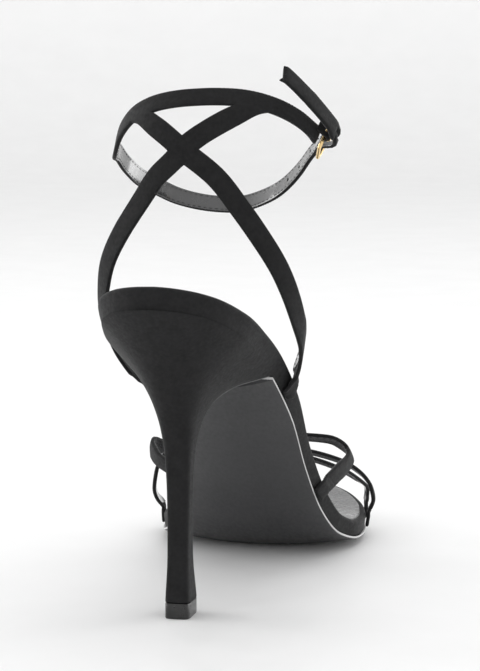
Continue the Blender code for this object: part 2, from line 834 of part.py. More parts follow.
def sewn(form, flat, triangles, thickness):
    """A closed sheet of one thickness, whose middle lies on the form."""
    bm = bmesh.new()
    outer, inner = {}, {}
    uses = {}
    for corners in triangles:
        for i in corners:
            if i not in outer:
                here, _, _, normal = frame_at(form, flat[i])
                outer[i] = bm.verts.new(here + normal * thickness / 2)
                inner[i] = bm.verts.new(here - normal * thickness / 2)
        bm.faces.new([outer[i] for i in corners])
        bm.faces.new([inner[i] for i in reversed(corners)])
        for a, b in zip(corners, corners[1:] + corners[:1]):
            uses.setdefault(frozenset((a, b)), []).append((a, b))
    for ends in uses.values():
        if len(ends) == 1:
            a, b = ends[0]
            bm.faces.new((outer[b], outer[a], inner[a], inner[b]))
    return bm


def ring_form(at):
    """The ring around the leg, unrolled."""
    return leg_point(at.x / ARC, at.y)


def ankle_form(at):
    """The same ring. Past the buckle the strap goes round again, lifted off it."""
    lift = STRAP_THICKNESS * looked_up(LIFT, at.x / ARC, 1)
    if lift == 0:
        return ring_form(at)
    here, _, _, normal = frame_at(ring_form, at)
    return here + normal * lift


def vamp_form(at):
    return vamp_point(at.x / GIRTH_LENGTH, at.y)


def ankle_path(table, width):
    points = [Vector((angle * ARC, rise * LOOP_HEIGHT, share * width)) for angle, rise, share in table]
    return through(points, ANKLE_FACETS)


def vamp_path(table, width):
    points = [Vector((girth * GIRTH_LENGTH, run * RUN, share * width)) for girth, run, share in table]
    return through(points, VAMP_FACETS)


def hem_height(angle, depth=1.0):
    """Height on the wall where a strap comes down at this angle: the rim at depth 0, the outsole at 1."""
    run = leg_run(angle, 0.0)
    return rim_z(run) - wall_at(run) * depth


def within(outline, at):
    """Whether a pattern point lies inside a closed outline."""
    odd = False
    for a, b in zip(outline, outline[1:] + outline[:1]):
        if (a.y > at.y) != (b.y > at.y) and at.x < a.x + (at.y - a.y) * (b.x - a.x) / (b.y - a.y):
            odd = not odd
    return odd


def outline_of(pairs):
    return [a for a, _ in pairs] + [b for _, b in reversed(pairs)]


def prong_hole():
    """Outline of the slot that the prong passes through."""
    middles = []
    for angle in HOLE_ANGLES:
        rise = looked_up(LOOP[::-1], angle, 1)
        middles.append(Vector((angle * ARC, rise * LOOP_HEIGHT, SLOT_WIDTH)))
    return outline_of(strip(ankle_form, middles))


def ankle_harness(finish):
    """The two straps that cross behind the ankle, the loop around it, and its tail."""
    strips = [
        strip(ankle_form, ankle_path(OUTER_RISE, STRAP_WIDTH)),
        strip(ankle_form, ankle_path(INNER_RISE, STRAP_WIDTH)),
        strip(ankle_form, ankle_path(LOOP, LOOP_WIDTH)),
    ]
    hems = []
    for side in (1, -1):
        angles = [side * (HEM_FIRST + k * HEM_STEP) for k in range(HEM_POINTS)]
        for depth in HEM_DEPTHS:
            hems.append([Vector((angle * ARC, hem_height(angle, depth))) for angle in angles])

    hole = prong_hole()

    def kept(at):
        above_hem = at.y > HEM_TOP * LOOP_HEIGHT or at.y > hem_height(at.x / ARC)
        return above_hem and not within(hole, at)

    flat, triangles = cut_pattern(strips, hems + [hole + hole[:1]], kept)
    return finished("ankle_harness", sewn(ankle_form, flat, triangles, STRAP_THICKNESS), finish)


def toe_straps(finish):
    """The band over the toes and the thin straps in front of it, joined at the inner side of the top."""
    strips = [strip(vamp_form, vamp_path(VAMP_BAND, TOE_STRAP_WIDTH))]
    for table in (REAR_TOE_STRAP, FRONT_TOE_STRAP, INNER_TOE_STRAP):
        strips.append(strip(vamp_form, vamp_path(table, THIN_STRAP_WIDTH)))
    creases = []
    for girth in CREASE_GIRTHS:
        for side in (1, -1):
            across = side * girth * GIRTH_LENGTH
            creases.append([Vector((across, CREASE_FIRST * RUN)), Vector((across, CREASE_LAST * RUN))])
    flat, triangles = cut_pattern(strips, creases, lambda at: abs(at.x) < GIRTH_LENGTH)
    return finished("toe_straps", sewn(vamp_form, flat, triangles, STRAP_THICKNESS), finish)


def buckle_axes():
    """Middle of the heel bar, the way to the front bar, and the unit ways across the strap and outwards."""
    bars = []
    for angle, rise in ((HEEL_BAR_ANGLE, HEEL_BAR_RISE), (FRONT_BAR_ANGLE, FRONT_BAR_RISE)):
        here, _, _, normal = frame_at(ring_form, Vector((angle * ARC, rise * LOOP_HEIGHT)))
        bars.append(here + normal * (STRAP_THICKNESS / 2 + GAP + WIRE / 2))
    span = bars[1] - bars[0]
    across = normal.cross(span).normalized()
    return bars[0], span, across, span.cross(across).normalized()


def buckle_frame(finish):
    """A rounded rectangle of wire, with its two bars across the strap."""
    heel_bar, span, across, out = buckle_axes()
    along = span.normalized()
    middle = heel_bar + span / 2
    reach, half = span.length / 2 - FRAME_CORNER, (FRAME_LENGTH - WIRE) / 2 - FRAME_CORNER
    bm = bmesh.new()
    rings = []
    for right, up in ((1, 1), (-1, 1), (-1, -1), (1, -1)):
        start = math.atan2(up, right) - math.pi / 4
        for k in range(CORNER_FACETS + 1):
            a = start + math.pi / 2 * k / CORNER_FACETS
            aside = along * math.cos(a) + across * math.sin(a)
            centre = middle + along * right * reach + across * up * half + aside * FRAME_CORNER
            turns = [2 * math.pi * i / WIRE_FACETS for i in range(WIRE_FACETS)]
            ring = [centre + (aside * math.cos(t) + out * math.sin(t)) * WIRE / 2 for t in turns]
            rings.append(verts_of(bm, ring))
    for ring_a, ring_b in zip(rings, rings[1:] + rings[:1]):
        band(bm, ring_a, ring_b)
    return finished("buckle_frame", bm, finish)


def buckle_prong(finish):
    """A pin hooked over the heel bar that passes through the strap and rests on the front bar."""
    heel_bar, span, _, out = buckle_axes()
    along = span.normalized()
    bend = WIRE / 2 + GAP + PRONG_THICKNESS / 2

    def form(at):
        return heel_bar + along * at.x + out * at.y

    line = through([Vector((s * bend, n * bend, PRONG_THICKNESS)) for s, n in PRONG_LINE], PRONG_FACETS)
    flat, triangles = cut_pattern([strip(form, line)], [], lambda at: True)
    return finished("buckle_prong", sewn(form, flat, triangles, PRONG_THICKNESS), finish)


def buckle_keeper(finish):
    """The fold of strap that holds the frame, with a slot for the prong."""
    heel_bar, span, across, out = buckle_axes()
    along = span.normalized()
    bend = WIRE / 2 + GAP + KEEPER_THICKNESS / 2
    line = through([Vector((s * bend, n * bend)) for s, n in KEEPER_FOLD], PRONG_FACETS)
    lengths = [0.0]
    for a, b in zip(line, line[1:]):
        lengths.append(lengths[-1] + (b - a).length)

    def form(at):
        i = max(j for j in range(len(line) - 1) if j == 0 or lengths[j] <= at.x)
        s, n = line[i].lerp(line[i + 1], (at.x - lengths[i]) / (lengths[i + 1] - lengths[i]))
        return heel_bar + along * s + across * at.y + out * n

    top = lengths[max(range(len(line)), key=lambda i: line[i].y)]
    marks = [x for x in lengths if SLOT_FIRST < x - top < SLOT_LAST]
    marks = [top + SLOT_FIRST] + marks + [top + SLOT_LAST]
    slot = outline_of([(Vector((x, -SLOT_WIDTH / 2)), Vector((x, SLOT_WIDTH / 2))) for x in marks])
    strips = [[(Vector((x, -KEEPER_WIDTH / 2)), Vector((x, KEEPER_WIDTH / 2))) for x in lengths]]
    flat, triangles = cut_pattern(strips, [slot + slot[:1]], lambda at: not within(slot, at))
    return finished("buckle_keeper", sewn(form, flat, triangles, KEEPER_THICKNESS), finish)


for old in list(bpy.data.objects):
    bpy.data.objects.remove(old)

COVER_BLACK = material("matte_black_cover", (0.012, 0.012, 0.013), 0.65)
SOLE_GREY = material("smooth_dark_sole", (0.03, 0.03, 0.032), 0.4)
GOLD = material("gold_metal", (0.83, 0.6, 0.3), 0.25, metallic=1.0)
RUBBER = material("black_tip_rubber", (0.01, 0.01, 0.01), 0.5)
footbed(COVER_BLACK)
outsole(SOLE_GREY)
heel(COVER_BLACK)
heel_top_piece(RUBBER)
ankle_harness(COVER_BLACK)
toe_straps(COVER_BLACK)
buckle_keeper(COVER_BLACK)
buckle_frame(GOLD)
buckle_prong(GOLD)
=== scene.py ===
"""Looks of the strappy heeled sandal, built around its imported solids.

The forms and tables repeat the part's own, in metres, so that every fine piece lies where its solid does.
"""

import bisect
import math

import bmesh
import bpy
import numpy as np
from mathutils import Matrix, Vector, noise
from mathutils.geometry import delaunay_2d_cdt


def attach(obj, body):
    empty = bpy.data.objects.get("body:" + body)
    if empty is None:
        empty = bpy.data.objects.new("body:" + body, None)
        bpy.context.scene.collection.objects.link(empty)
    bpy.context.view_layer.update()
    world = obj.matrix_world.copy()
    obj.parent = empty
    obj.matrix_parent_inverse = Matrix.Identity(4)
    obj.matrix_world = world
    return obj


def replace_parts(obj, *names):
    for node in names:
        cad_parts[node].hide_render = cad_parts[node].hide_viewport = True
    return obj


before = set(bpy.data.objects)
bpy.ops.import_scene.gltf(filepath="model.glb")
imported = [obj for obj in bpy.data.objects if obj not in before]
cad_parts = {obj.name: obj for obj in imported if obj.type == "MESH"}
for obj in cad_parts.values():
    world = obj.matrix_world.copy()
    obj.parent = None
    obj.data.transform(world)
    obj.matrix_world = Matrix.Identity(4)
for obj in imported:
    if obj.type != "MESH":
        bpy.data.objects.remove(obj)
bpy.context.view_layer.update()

# Footbed seen from above
RUN = 0.2106
SETBACK = 0.0334
SEAT_WIDTH = 0.0502
WAIST_WIDTH = 0.0440
BALL_WIDTH = 0.0740

# Footbed seen from the side
SEAT_RIM = 0.1062
BALL_RIM = 0.0087
TOE_SPRING = 0.0040
WALL = 0.0080
RIM_ROUNDING = 0.0016
INSOLE_DISH = 0.0008
WAIST_TUCK = 0.0032

# Sole and heel
GAP = 0.0003
SOLE_EDGE = 0.0009
SOLE_CROWN = 0.0034
SOLE_LIP = 0.0005
BREAST_RUN = 0.0570
TIP_WIDTH = 0.0080
TIP_LENGTH = 0.0122
TIP_HEIGHT = 0.0050
SEAT_INSET = 0.0004

# Straps
STRAP_WIDTH = 0.0066
LOOP_WIDTH = 0.0060
STRAP_THICKNESS = 0.0014
TOE_STRAP_WIDTH = 0.0070
THIN_STRAP_WIDTH = 0.0036

# Ring that the ankle straps lie on, around the leg
LEG_RUN = 0.0660
LEG_BACK = 0.0280
LEG_FRONT = 0.0290
LEG_OUTER = 0.0370
LEG_INNER = 0.0300
LOOP_HEIGHT = 0.1500
LOOP_LEAN = 0.65
LEAN_REACH = 0.0050

# Buckle
WIRE = 0.0012
FRAME_LENGTH = 0.0126
FRAME_CORNER = 0.0020
HEEL_BAR_ANGLE = -280.7
HEEL_BAR_RISE = 0.9975
FRONT_BAR_ANGLE = -266.8
FRONT_BAR_RISE = 0.9740
PRONG_THICKNESS = 0.0008
KEEPER_THICKNESS = 0.0008
KEEPER_WIDTH = 0.0050
SLOT_WIDTH = 0.0015
SLOT_FIRST = -0.0030
SLOT_LAST = 0.0024
HOLE_ANGLES = (-282.0, -279.0, -276.0, -273.5, -271.0)

# Form that the toe straps lie on, over the toes
VAMP_HEIGHT = 0.0440
ROOT_RISE = 0.0045
ROOT_BEND = 0.0006
ROOT_GAP = 0.0004
ARC = 0.00056
GIRTH_LENGTH = 0.0600

# How fine the pieces are
FOOTBED_ROWS = 150
FOOTBED_BUNCHING = 0.6
FOOTBED_COLUMNS = 24
SOLE_ROWS = 110
SOLE_BUNCHING = 0.5
SOLE_COLUMNS = 24
HEEL_SIDE = 36
HEEL_COLUMNS = 16
HEEL_STEPS = 8
PATTERN_STEP = 0.0001
PATTERN_WELD = 0.00001
PLAN_STEP = 0.0003
BREAST_CORNER_ANGLE = 135.0
HEM_FIRST = 75.0
HEM_STEP = 2.5
HEM_POINTS = 17
HEM_TOP = 0.60
SPAN_POINTS = 8
ROW_STEP = 0.0011
EDGE_LANES = (0.00010, 0.00024, 0.00045)
MIDDLE_LANES = (-0.2, 0.0, 0.2)
PLAN_POINTS = 12
SHARP_ANGLE = 50.0
TINY_SPAN = 1e-18
CDT_INSIDE = 1

# Footbed, sole and heel: how the fine forms are rounded
WALL_LEVELS = 8
WALL_BELLY = 0.35
RIM_LEVELS = 5
SOCK_EDGE = ((0.0021, -0.0004), (0.0021, 0.0001), (0.00225, 0.00025), (0.0026, 0.0003))
SOCK_PAD = 0.0008
SOCK_ROUNDNESS = 0.7
SOLE_LEVELS = ((0.0, 0.0), (0.0, 0.6), (0.00006, 0.85), (0.00025, 1.0))
BAND_PROUD = 0.00012
BAND_DEPTH = 0.0006
BAND_ROUNDING = 0.00015
BAND_HEIGHT = 0.00075
SEAT_BEND_POWER = 4
SEAT_LIFT_POWER = 8
# Thin tubes that carry the painted highlight along the heel's breast edges
EDGE_HIGHLIGHT_RADIUS = 0.00016
EDGE_HIGHLIGHT_THINNEST = 0.000016
EDGE_HIGHLIGHT_SIDES = 8

# Top piece's edges: how far in, height
TIP_LEVELS = (
    (0.00045, 0.0), (0.0001, 0.00012), (0.0, 0.0004), (0.0, 0.0046), (0.00012, 0.0049),
    (0.0003, 0.005),
)

# run share, share of the insole's padding
SOCK_PADS = (
    (0.00, 0.2), (0.14, 0.7), (0.36, 0.1), (0.52, 0.1), (0.70, 1.0), (0.86, 0.7), (1.00, 0.2),
)

# Layers of a strap: lowest and highest, outwards from the middle of its thickness, and rounding
LINING_LOW = -0.0007
LINING_LAYER = (LINING_LOW, -0.00048, 0.0001)
COVER_LAYER = (-0.0005, 0.0007, 0.00045)
LINING_INSET = 0.00015
LINING_START = 0.0014
LINING_END_ROWS = 3
LINING_GIRTH = 0.80
CREASE_FIRST = 0.40
CREASE_LAST = 0.95
WAVER = 0.00007
WAVER_SCALE = 90.0

# Stitches and punched holes
STITCH_INSET = 0.00085
STITCH_PITCH = 0.0019
STITCH_LENGTH = 0.0014
STITCH_RADIUS = 0.00014
STITCH_SIDES = 6
PUNCHED_ANGLES = (-256.5, -245.7, -235.0)
PUNCHED_RADIUS = 0.00065
PUNCHED_FACETS = 16

# share of a stitch's length, how deep it sinks and how thick it is in shares of its radius
STITCH_FORM = (
    (-0.5, 0.9, 0.5), (-0.3, 0.2, 0.9), (0.0, 0.0, 1.0), (0.3, 0.2, 0.9), (0.5, 0.9, 0.5),
)

# Buckle: how fine and how rounded
CORNER_FACETS = 12
WIRE_FACETS = 20
PRONG_FACETS = 8
PRONG_SIDES = 14
PRONG_TIP = 0.45
KEEPER_ROUNDING = 0.0002
SLOT_OUTLINE = ((SLOT_FIRST, -1.0), (SLOT_LAST, -1.0), (SLOT_LAST, 1.0), (SLOT_FIRST, 1.0))

# Camera and light
CAMERA_PLACE = (0.1768, -0.6896, 0.1701)
CAMERA_TURN = 12.9
CAMERA_PITCH = 6.6
CAMERA_LENS = 125.0
SENSOR = 36.0
FLOOR_RADIUS = 2.6
SWEEP = 1.0
SWEEP_STEPS = 16
SWEEP_SIDES = 96
WALL_HEIGHT = 1.6
# Painted light: the backdrop wall glows, from nothing at the floor up to WALL_GLOW at GLOW_HEIGHT
WALL_GLOW = 0.13
GLOW_HEIGHT = 0.35
ROOM_LIGHT = 0.95
LIGHT_AIM = (0.0, 0.06, 0.09)
LIGHTS = (
    ("overhead", (0.1, 0.5, 1.6), (1.4, 1.4), 5.0),
    ("front_right", (1.3, 1.0, 0.25), (0.9, 0.7), 6.5),
    ("left", (-1.3, 0.1, 0.30), (0.8, 0.7), 7.5),
)

# Looks. Mottle is the scale of the change from dark to light. Uneven holds the lowest and the highest
# roughness, then scale, detail and stretch of the noise. A grain holds its kind, depth in metres and
# scale, then detail and stretch. Sockets hold what is the same all over.
EVEN = (1.0, 1.0, 1.0)
ALONG = (1.0, 0.12, 1.0)
MOTTLE_DETAIL = 4.0
RAMP_FIRST = 0.3
RAMP_LAST = 0.7
LINING_LOOK = {
    "dark": (0.012, 0.012, 0.013),
    "light": (0.022, 0.022, 0.024),
    "mottle": 180.0,
    "uneven": (0.22, 0.42, 600.0, 4.0, EVEN),
    "grains": (("cells", 0.00002, 1500.0), ("noise", 0.00012, 240.0, 3.0, EVEN)),
}
GLOSS = {"Roughness": 0.25, "Coat Roughness": 0.12, "Coat IOR": 1.7}
LOOKS = {
    "matte_black_cover": {
        "dark": (0.0105, 0.0105, 0.0109),
        "light": (0.0145, 0.0145, 0.015),
        "mottle": 260.0,
        "uneven": (0.68, 0.9, 900.0, 4.0, EVEN),
        "grains": (("noise", 0.00003, 5200.0, 2.0, EVEN), ("noise", 0.00006, 420.0, 4.0, EVEN)),
        "sockets": {
            "Roughness": 0.8,
            "Sheen Weight": 0.07,
            "Sheen Roughness": 0.4,
            "Specular IOR Level": 0.2,
        },
    },
    "glossy_dark_lining": {**LINING_LOOK, "sockets": {**GLOSS, "Coat Weight": 1.0}},
    "glossy_dark_insole": {**LINING_LOOK, "sockets": {**GLOSS, "Coat Weight": 0.45}},
    "smooth_dark_sole": {
        "dark": (0.021, 0.021, 0.023),
        "light": (0.027, 0.027, 0.029),
        "mottle": 40.0,
        "uneven": (0.38, 0.52, 900.0, 3.0, ALONG),
        "grains": (("noise", 0.00001, 2600.0, 2.0, EVEN), ("noise", 0.00001, 900.0, 3.0, ALONG)),
        "sockets": {"Roughness": 0.4, "Coat Weight": 0.08, "Coat Roughness": 0.35},
    },
}

# Plain looks: dark tone, light tone, roughness, scale and depth in metres of the grain, metallic, coat
MOTTLE_SHARE = 6
UNEVEN_SHARE = 2
ROUGHNESS_SPAN = (0.85, 1.2)
GRAIN_DETAIL = 3.0
PLAIN_LOOKS = {
    # Sole edge: pale grey that is partly the edge's own light tone and partly a painted highlight
    "sole_edge_tone_and_highlight": ((0.55, 0.55, 0.55), (0.62, 0.62, 0.62), 0.5, 900.0, 0.000005, 0.0, 0.0),
    # Heel's breast edges: a painted highlight, pale grey on thin tubes
    "heel_edge_painted_highlight": ((0.09, 0.09, 0.09), (0.16, 0.16, 0.16), 0.6, 1800.0, 0.00002, 0.0, 0.0),
    "hard_tip": ((0.006, 0.006, 0.006), (0.010, 0.010, 0.010), 0.3, 1500.0, 0.00001, 0.0, 0.25),
    "black_thread": ((0.01, 0.01, 0.01), (0.03, 0.03, 0.03), 0.7, 6000.0, 0.00003, 0.0, 0.0),
    "polished_gold": ((0.80, 0.56, 0.25), (0.88, 0.66, 0.34), 0.16, 1200.0, 0.000004, 1.0, 0.0),
    "pale_floor": ((0.85, 0.85, 0.85), (0.87, 0.87, 0.87), 0.6, 120.0, 0.00001, 0.0, 0.0),
}

# run share, the width it follows, outer share, inner share
PLAN = (
    (0.0000, SEAT_WIDTH, 0.000, 0.000), (0.0142, SEAT_WIDTH, 0.179, 0.230),
    (0.0475, SEAT_WIDTH, 0.343, 0.370), (0.1045, SEAT_WIDTH, 0.470, 0.450),
    (0.1900, SEAT_WIDTH, 0.518, 0.488), (0.2754, SEAT_WIDTH, 0.542, 0.426),
    (0.3704, WAIST_WIDTH, 0.641, 0.395), (0.4653, WAIST_WIDTH, 0.641, 0.359),
    (0.5508, BALL_WIDTH, 0.405, 0.273), (0.6363, BALL_WIDTH, 0.447, 0.405),
    (0.7123, BALL_WIDTH, 0.486, 0.489), (0.7882, BALL_WIDTH, 0.477, 0.523),
    (0.8642, BALL_WIDTH, 0.422, 0.492), (0.9307, BALL_WIDTH, 0.314, 0.381),
    (0.9758, BALL_WIDTH, 0.189, 0.227), (1.0000, BALL_WIDTH, 0.000, 0.000),
)

# run share, fall of the rim from seat to ball, toe spring, wall, outer tuck, inner tuck
PROFILE = (
    (0.0000, 1.000, 0.00, 0.90, 0.00, 0.00), (0.0142, 0.990, 0.00, 0.90, 0.02, 0.02),
    (0.0475, 0.961, 0.00, 0.90, 0.20, 0.12), (0.1045, 0.903, 0.00, 0.88, 0.50, 0.28),
    (0.1900, 0.820, 0.00, 0.86, 0.80, 0.45), (0.2754, 0.725, 0.00, 0.88, 1.00, 0.60),
    (0.3704, 0.574, 0.00, 1.00, 0.70, 0.40), (0.4653, 0.371, 0.00, 0.98, 0.50, 0.20),
    (0.5508, 0.191, 0.00, 0.94, 0.45, 0.12), (0.6363, 0.058, 0.00, 0.78, 0.35, 0.03),
    (0.7123, 0.009, 0.00, 0.70, 0.15, 0.00), (0.7882, 0.000, 0.03, 0.65, 0.03, 0.00),
    (0.8642, 0.000, 0.32, 0.67, 0.00, 0.00), (0.9307, 0.000, 0.72, 0.68, 0.00, 0.00),
    (0.9758, 0.000, 0.93, 0.66, 0.00, 0.00), (1.0000, 0.000, 1.00, 0.65, 0.00, 0.00),
)

# back run share, back height share, front run share, front height share of the heel's seat,
# half width share of the seat, squareness, likeness to the seat's outline
HEEL = (
    (0.502, 0.205, 0.642, 0.205, 0.146, 6.0, 0.00), (0.509, 0.368, 0.635, 0.358, 0.154, 5.0, 0.00),
    (0.491, 0.510, 0.642, 0.475, 0.176, 4.0, 0.00), (0.447, 0.613, 0.672, 0.557, 0.228, 3.2, 0.05),
    (0.377, 0.705, 0.728, 0.628, 0.328, 2.8, 0.15), (0.289, 0.792, 0.807, 0.674, 0.480, 2.6, 0.35),
    (0.184, 0.878, 0.886, 0.705, 0.680, 2.4, 0.60), (0.079, 0.950, 0.956, 0.722, 0.860, 2.2, 0.85),
)
TIP_SQUARENESS = HEEL[0][5]
SEAT_SQUARENESS = HEEL[-1][5]

# height share of the ankle loop, outer share, inner share of the leg's half widths
LEG = (
    (0.435, 0.700, 0.620), (0.455, 0.780, 0.680), (0.482, 0.850, 0.780), (0.535, 0.895, 0.940),
    (0.590, 0.925, 1.060), (0.660, 0.960, 1.140), (0.740, 0.990, 1.190), (0.810, 0.990, 1.150),
    (0.900, 1.000, 0.970), (0.960, 1.020, 0.945), (1.000, 1.070, 0.940), (1.060, 1.060, 0.940),
    (1.120, 1.020, 0.940),
)

# angle from the back in degrees, share of the outer half width that a taut strap keeps
TAUT = (
    (80.0, 1.00), (94.0, 0.96), (114.0, 0.85), (136.0, 0.74), (159.0, 0.62), (180.0, 0.60),
)

# angle in degrees, lift in strap thicknesses of the strap that passes through the buckle
LIFT = (
    (-315.0, 3.6), (-302.0, 3.1), (-292.0, 3.1), (-281.0, 3.5), (-278.0, 3.4), (-268.0, 0.0),
    (-262.0, 0.0),
)

# angle in degrees from the back, height share of the ankle loop, share of the strap's width
OUTER_RISE = (
    (104.0, 0.425, 1.0), (101.0, 0.460, 1.0), (96.0, 0.495, 1.0), (87.0, 0.546, 1.0),
    (73.0, 0.604, 1.0), (59.0, 0.679, 1.0), (42.3, 0.772, 1.0), (29.0, 0.845, 1.0),
    (16.5, 0.910, 1.0), (4.0, 0.953, 1.0), (-6.0, 0.984, 1.0), (-17.0, 1.010, 1.0),
    (-29.0, 1.030, 0.8), (-40.0, 1.028, 0.5),
)
INNER_RISE = (
    (-101.0, 0.415, 1.0), (-96.0, 0.450, 1.0), (-89.0, 0.482, 1.0), (-80.0, 0.530, 1.0),
    (-72.5, 0.566, 1.0), (-65.5, 0.613, 1.0), (-57.5, 0.661, 1.0), (-45.5, 0.737, 1.0),
    (-32.3, 0.815, 1.0), (-17.0, 0.905, 1.0), (-3.5, 0.948, 1.0), (4.0, 0.978, 1.0),
    (14.0, 1.009, 1.0), (25.0, 1.035, 0.95), (34.0, 1.050, 0.75), (44.0, 1.050, 0.45),
)
LOOP = (
    (74.6, 0.990, 1.0), (68.0, 1.003, 1.0), (58.0, 1.026, 1.0), (43.0, 1.053, 1.0),
    (29.0, 1.068, 1.0), (15.0, 1.072, 1.0), (0.0, 1.069, 1.0), (-20.0, 1.057, 1.0),
    (-37.0, 1.036, 1.0), (-53.0, 1.003, 1.0), (-71.0, 0.960, 1.0), (-90.0, 0.948, 1.0),
    (-103.0, 0.924, 1.0), (-118.0, 0.896, 1.0), (-136.0, 0.871, 1.0), (-152.0, 0.848, 1.0),
    (-168.0, 0.834, 1.0), (-184.0, 0.830, 1.0), (-201.0, 0.836, 1.0), (-224.0, 0.865, 1.0),
    (-245.0, 0.916, 1.0), (-258.0, 0.957, 1.0), (-268.0, 0.976, 1.0), (-275.0, 0.988, 1.0),
    (-281.0, 0.998, 1.0), (-292.0, 1.030, 1.0), (-303.0, 1.066, 1.0), (-315.0, 1.106, 1.0),
)

# run share, outer and inner girdle of the ball's width, height of the vamp, outer, inner roundness
GIRDLE = (
    (0.480, 0.390, 0.290, 1.10, 0.0, 0.0), (0.520, 0.420, 0.320, 1.06, 0.0, 0.0),
    (0.560, 0.450, 0.410, 1.03, 0.0, 0.0), (0.608, 0.470, 0.470, 0.99, 0.0, 0.2),
    (0.640, 0.478, 0.475, 0.94, 0.1, 0.8), (0.665, 0.485, 0.495, 0.88, 0.4, 1.0),
    (0.710, 0.508, 0.535, 0.77, 1.0, 1.0), (0.750, 0.522, 0.550, 0.67, 1.0, 1.0),
    (0.790, 0.515, 0.540, 0.57, 1.0, 1.0), (0.850, 0.465, 0.510, 0.46, 1.0, 1.0),
    (1.000, 0.200, 0.260, 0.40, 1.0, 1.0),
)

# girth share from the top down, then width and rise shares where boxy and where rounded
VAULT = (
    (0.00, 0.00, 1.00, 0.00, 1.00), (0.20, 0.46, 1.00, 0.42, 0.99), (0.36, 0.79, 0.99, 0.73, 0.93),
    (0.48, 0.95, 0.91, 0.89, 0.80), (0.58, 1.00, 0.74, 0.98, 0.58), (0.68, 0.98, 0.50, 1.00, 0.33),
)

# girth share from the top, outer side positive, run share, share of the toe strap's width
VAMP_BAND = (
    (1.08, 0.512, 1.0), (1.00, 0.522, 1.0), (0.84, 0.545, 1.0), (0.72, 0.578, 1.0),
    (0.60, 0.629, 1.0), (0.49, 0.652, 1.0), (0.36, 0.643, 1.0), (0.20, 0.642, 1.0),
    (0.00, 0.638, 1.0), (-0.20, 0.648, 1.0), (-0.36, 0.652, 1.0), (-0.48, 0.640, 1.0),
    (-0.60, 0.590, 1.0), (-0.72, 0.560, 1.0), (-0.84, 0.536, 1.0), (-1.00, 0.502, 1.0),
    (-1.08, 0.485, 1.0),
)
REAR_TOE_STRAP = (
    (1.08, 0.800, 1.0), (1.00, 0.802, 1.0), (0.84, 0.800, 1.0), (0.68, 0.790, 1.0),
    (0.56, 0.768, 1.0), (0.42, 0.745, 1.0), (0.28, 0.722, 1.0), (0.12, 0.700, 1.0),
    (0.00, 0.684, 1.0), (-0.12, 0.661, 1.0), (-0.17, 0.648, 1.0),
)
FRONT_TOE_STRAP = (
    (1.08, 0.858, 0.8), (1.00, 0.856, 0.8), (0.84, 0.856, 0.8), (0.72, 0.866, 0.8),
    (0.58, 0.858, 0.8), (0.44, 0.825, 0.8), (0.28, 0.768, 0.8), (0.12, 0.726, 0.8),
    (0.00, 0.700, 0.8), (-0.12, 0.672, 0.8), (-0.17, 0.656, 0.8),
)
INNER_TOE_STRAP = (
    (-1.08, 0.762, 1.0), (-1.00, 0.763, 1.0), (-0.84, 0.775, 1.0), (-0.70, 0.722, 1.0),
    (-0.58, 0.688, 1.0), (-0.46, 0.678, 1.0), (-0.34, 0.670, 1.0), (-0.24, 0.662, 1.0),
    (-0.16, 0.654, 1.0),
)
RIM_GIRTH = 0.84

# along the strap and outwards from the heel bar's middle, in shares of the keeper's bend
KEEPER_FOLD = (
    (-3.00, -2.05), (-2.20, -1.35), (-1.50, -0.65), (-1.05, 0.05), (-0.70, 0.76), (0.00, 1.03),
    (0.60, 0.84), (0.94, 0.40), (1.03, -0.20), (1.03, -0.80),
)

# along the strap and outwards from the heel bar's middle, in shares of the prong's bend
PRONG_LINE = (
    (-1.02, -0.20), (-1.02, 0.10), (-0.88, 0.52), (-0.50, 0.90), (0.00, 1.02), (1.50, 1.04),
    (3.20, 1.04), (5.30, 1.03), (6.10, 0.98),
)


def curve(xs, ys):
    """A smooth curve through the points that never overshoots them, as a function."""
    slopes = [(ys[j + 1] - ys[j]) / (xs[j + 1] - xs[j]) for j in range(len(xs) - 1)]
    tangents = [slopes[0]]
    for before, after in zip(slopes, slopes[1:]):
        tangents.append(0.0 if before * after <= 0 else 2 * before * after / (before + after))
    tangents.append(slopes[-1])

    def value(x):
        if x <= xs[0]:
            return ys[0]
        if x >= xs[-1]:
            return ys[-1]
        i = bisect.bisect_right(xs, x) - 1
        span = xs[i + 1] - xs[i]
        t = (x - xs[i]) / span
        rise = ys[i + 1] - ys[i]
        start, end = tangents[i] * span, tangents[i + 1] * span
        return ys[i] + t * (start + t * (3 * rise - 2 * start - end + t * (start + end - 2 * rise)))

    return value


def smooth(x, xs, ys):
    return curve(xs, ys)(x)


CURVES = {}


def looked_up(table, x, column):
    key = (id(table), column)
    if key not in CURVES:
        rows = table if table[0][0] < table[-1][0] else table[::-1]
        CURVES[key] = curve([row[0] for row in rows], [row[column] for row in rows])
    return CURVES[key](x)


def through(points, per_span, closed=False):
    """Points of a smooth curve that passes through the given ones."""
    n = len(points)
    found = []
    spans = n if closed else n - 1

    def at(i):
        return points[i % n] if closed else points[min(max(i, 0), n - 1)]

    for i in range(spans):
        before, a, b, after = at(i - 1), at(i), at(i + 1), at(i + 2)
        d0, d1, d2 = (a - before).length, (b - a).length, (after - b).length
        start = (b - a) if d0 == 0 else ((b - a) / d1 * d0 + (a - before) / d0 * d1) / (d0 + d1) * d1
        end = (b - a) if d2 == 0 else ((after - b) / d2 * d1 + (b - a) / d1 * d2) / (d1 + d2) * d1
        for k in range(per_span):
            t = k / per_span
            found.append(
                a + t * (start + t * (3 * (b - a) - 2 * start - end + t * (start + end - 2 * (b - a))))
            )
    if not closed:
        found.append(points[-1].copy())
    return found


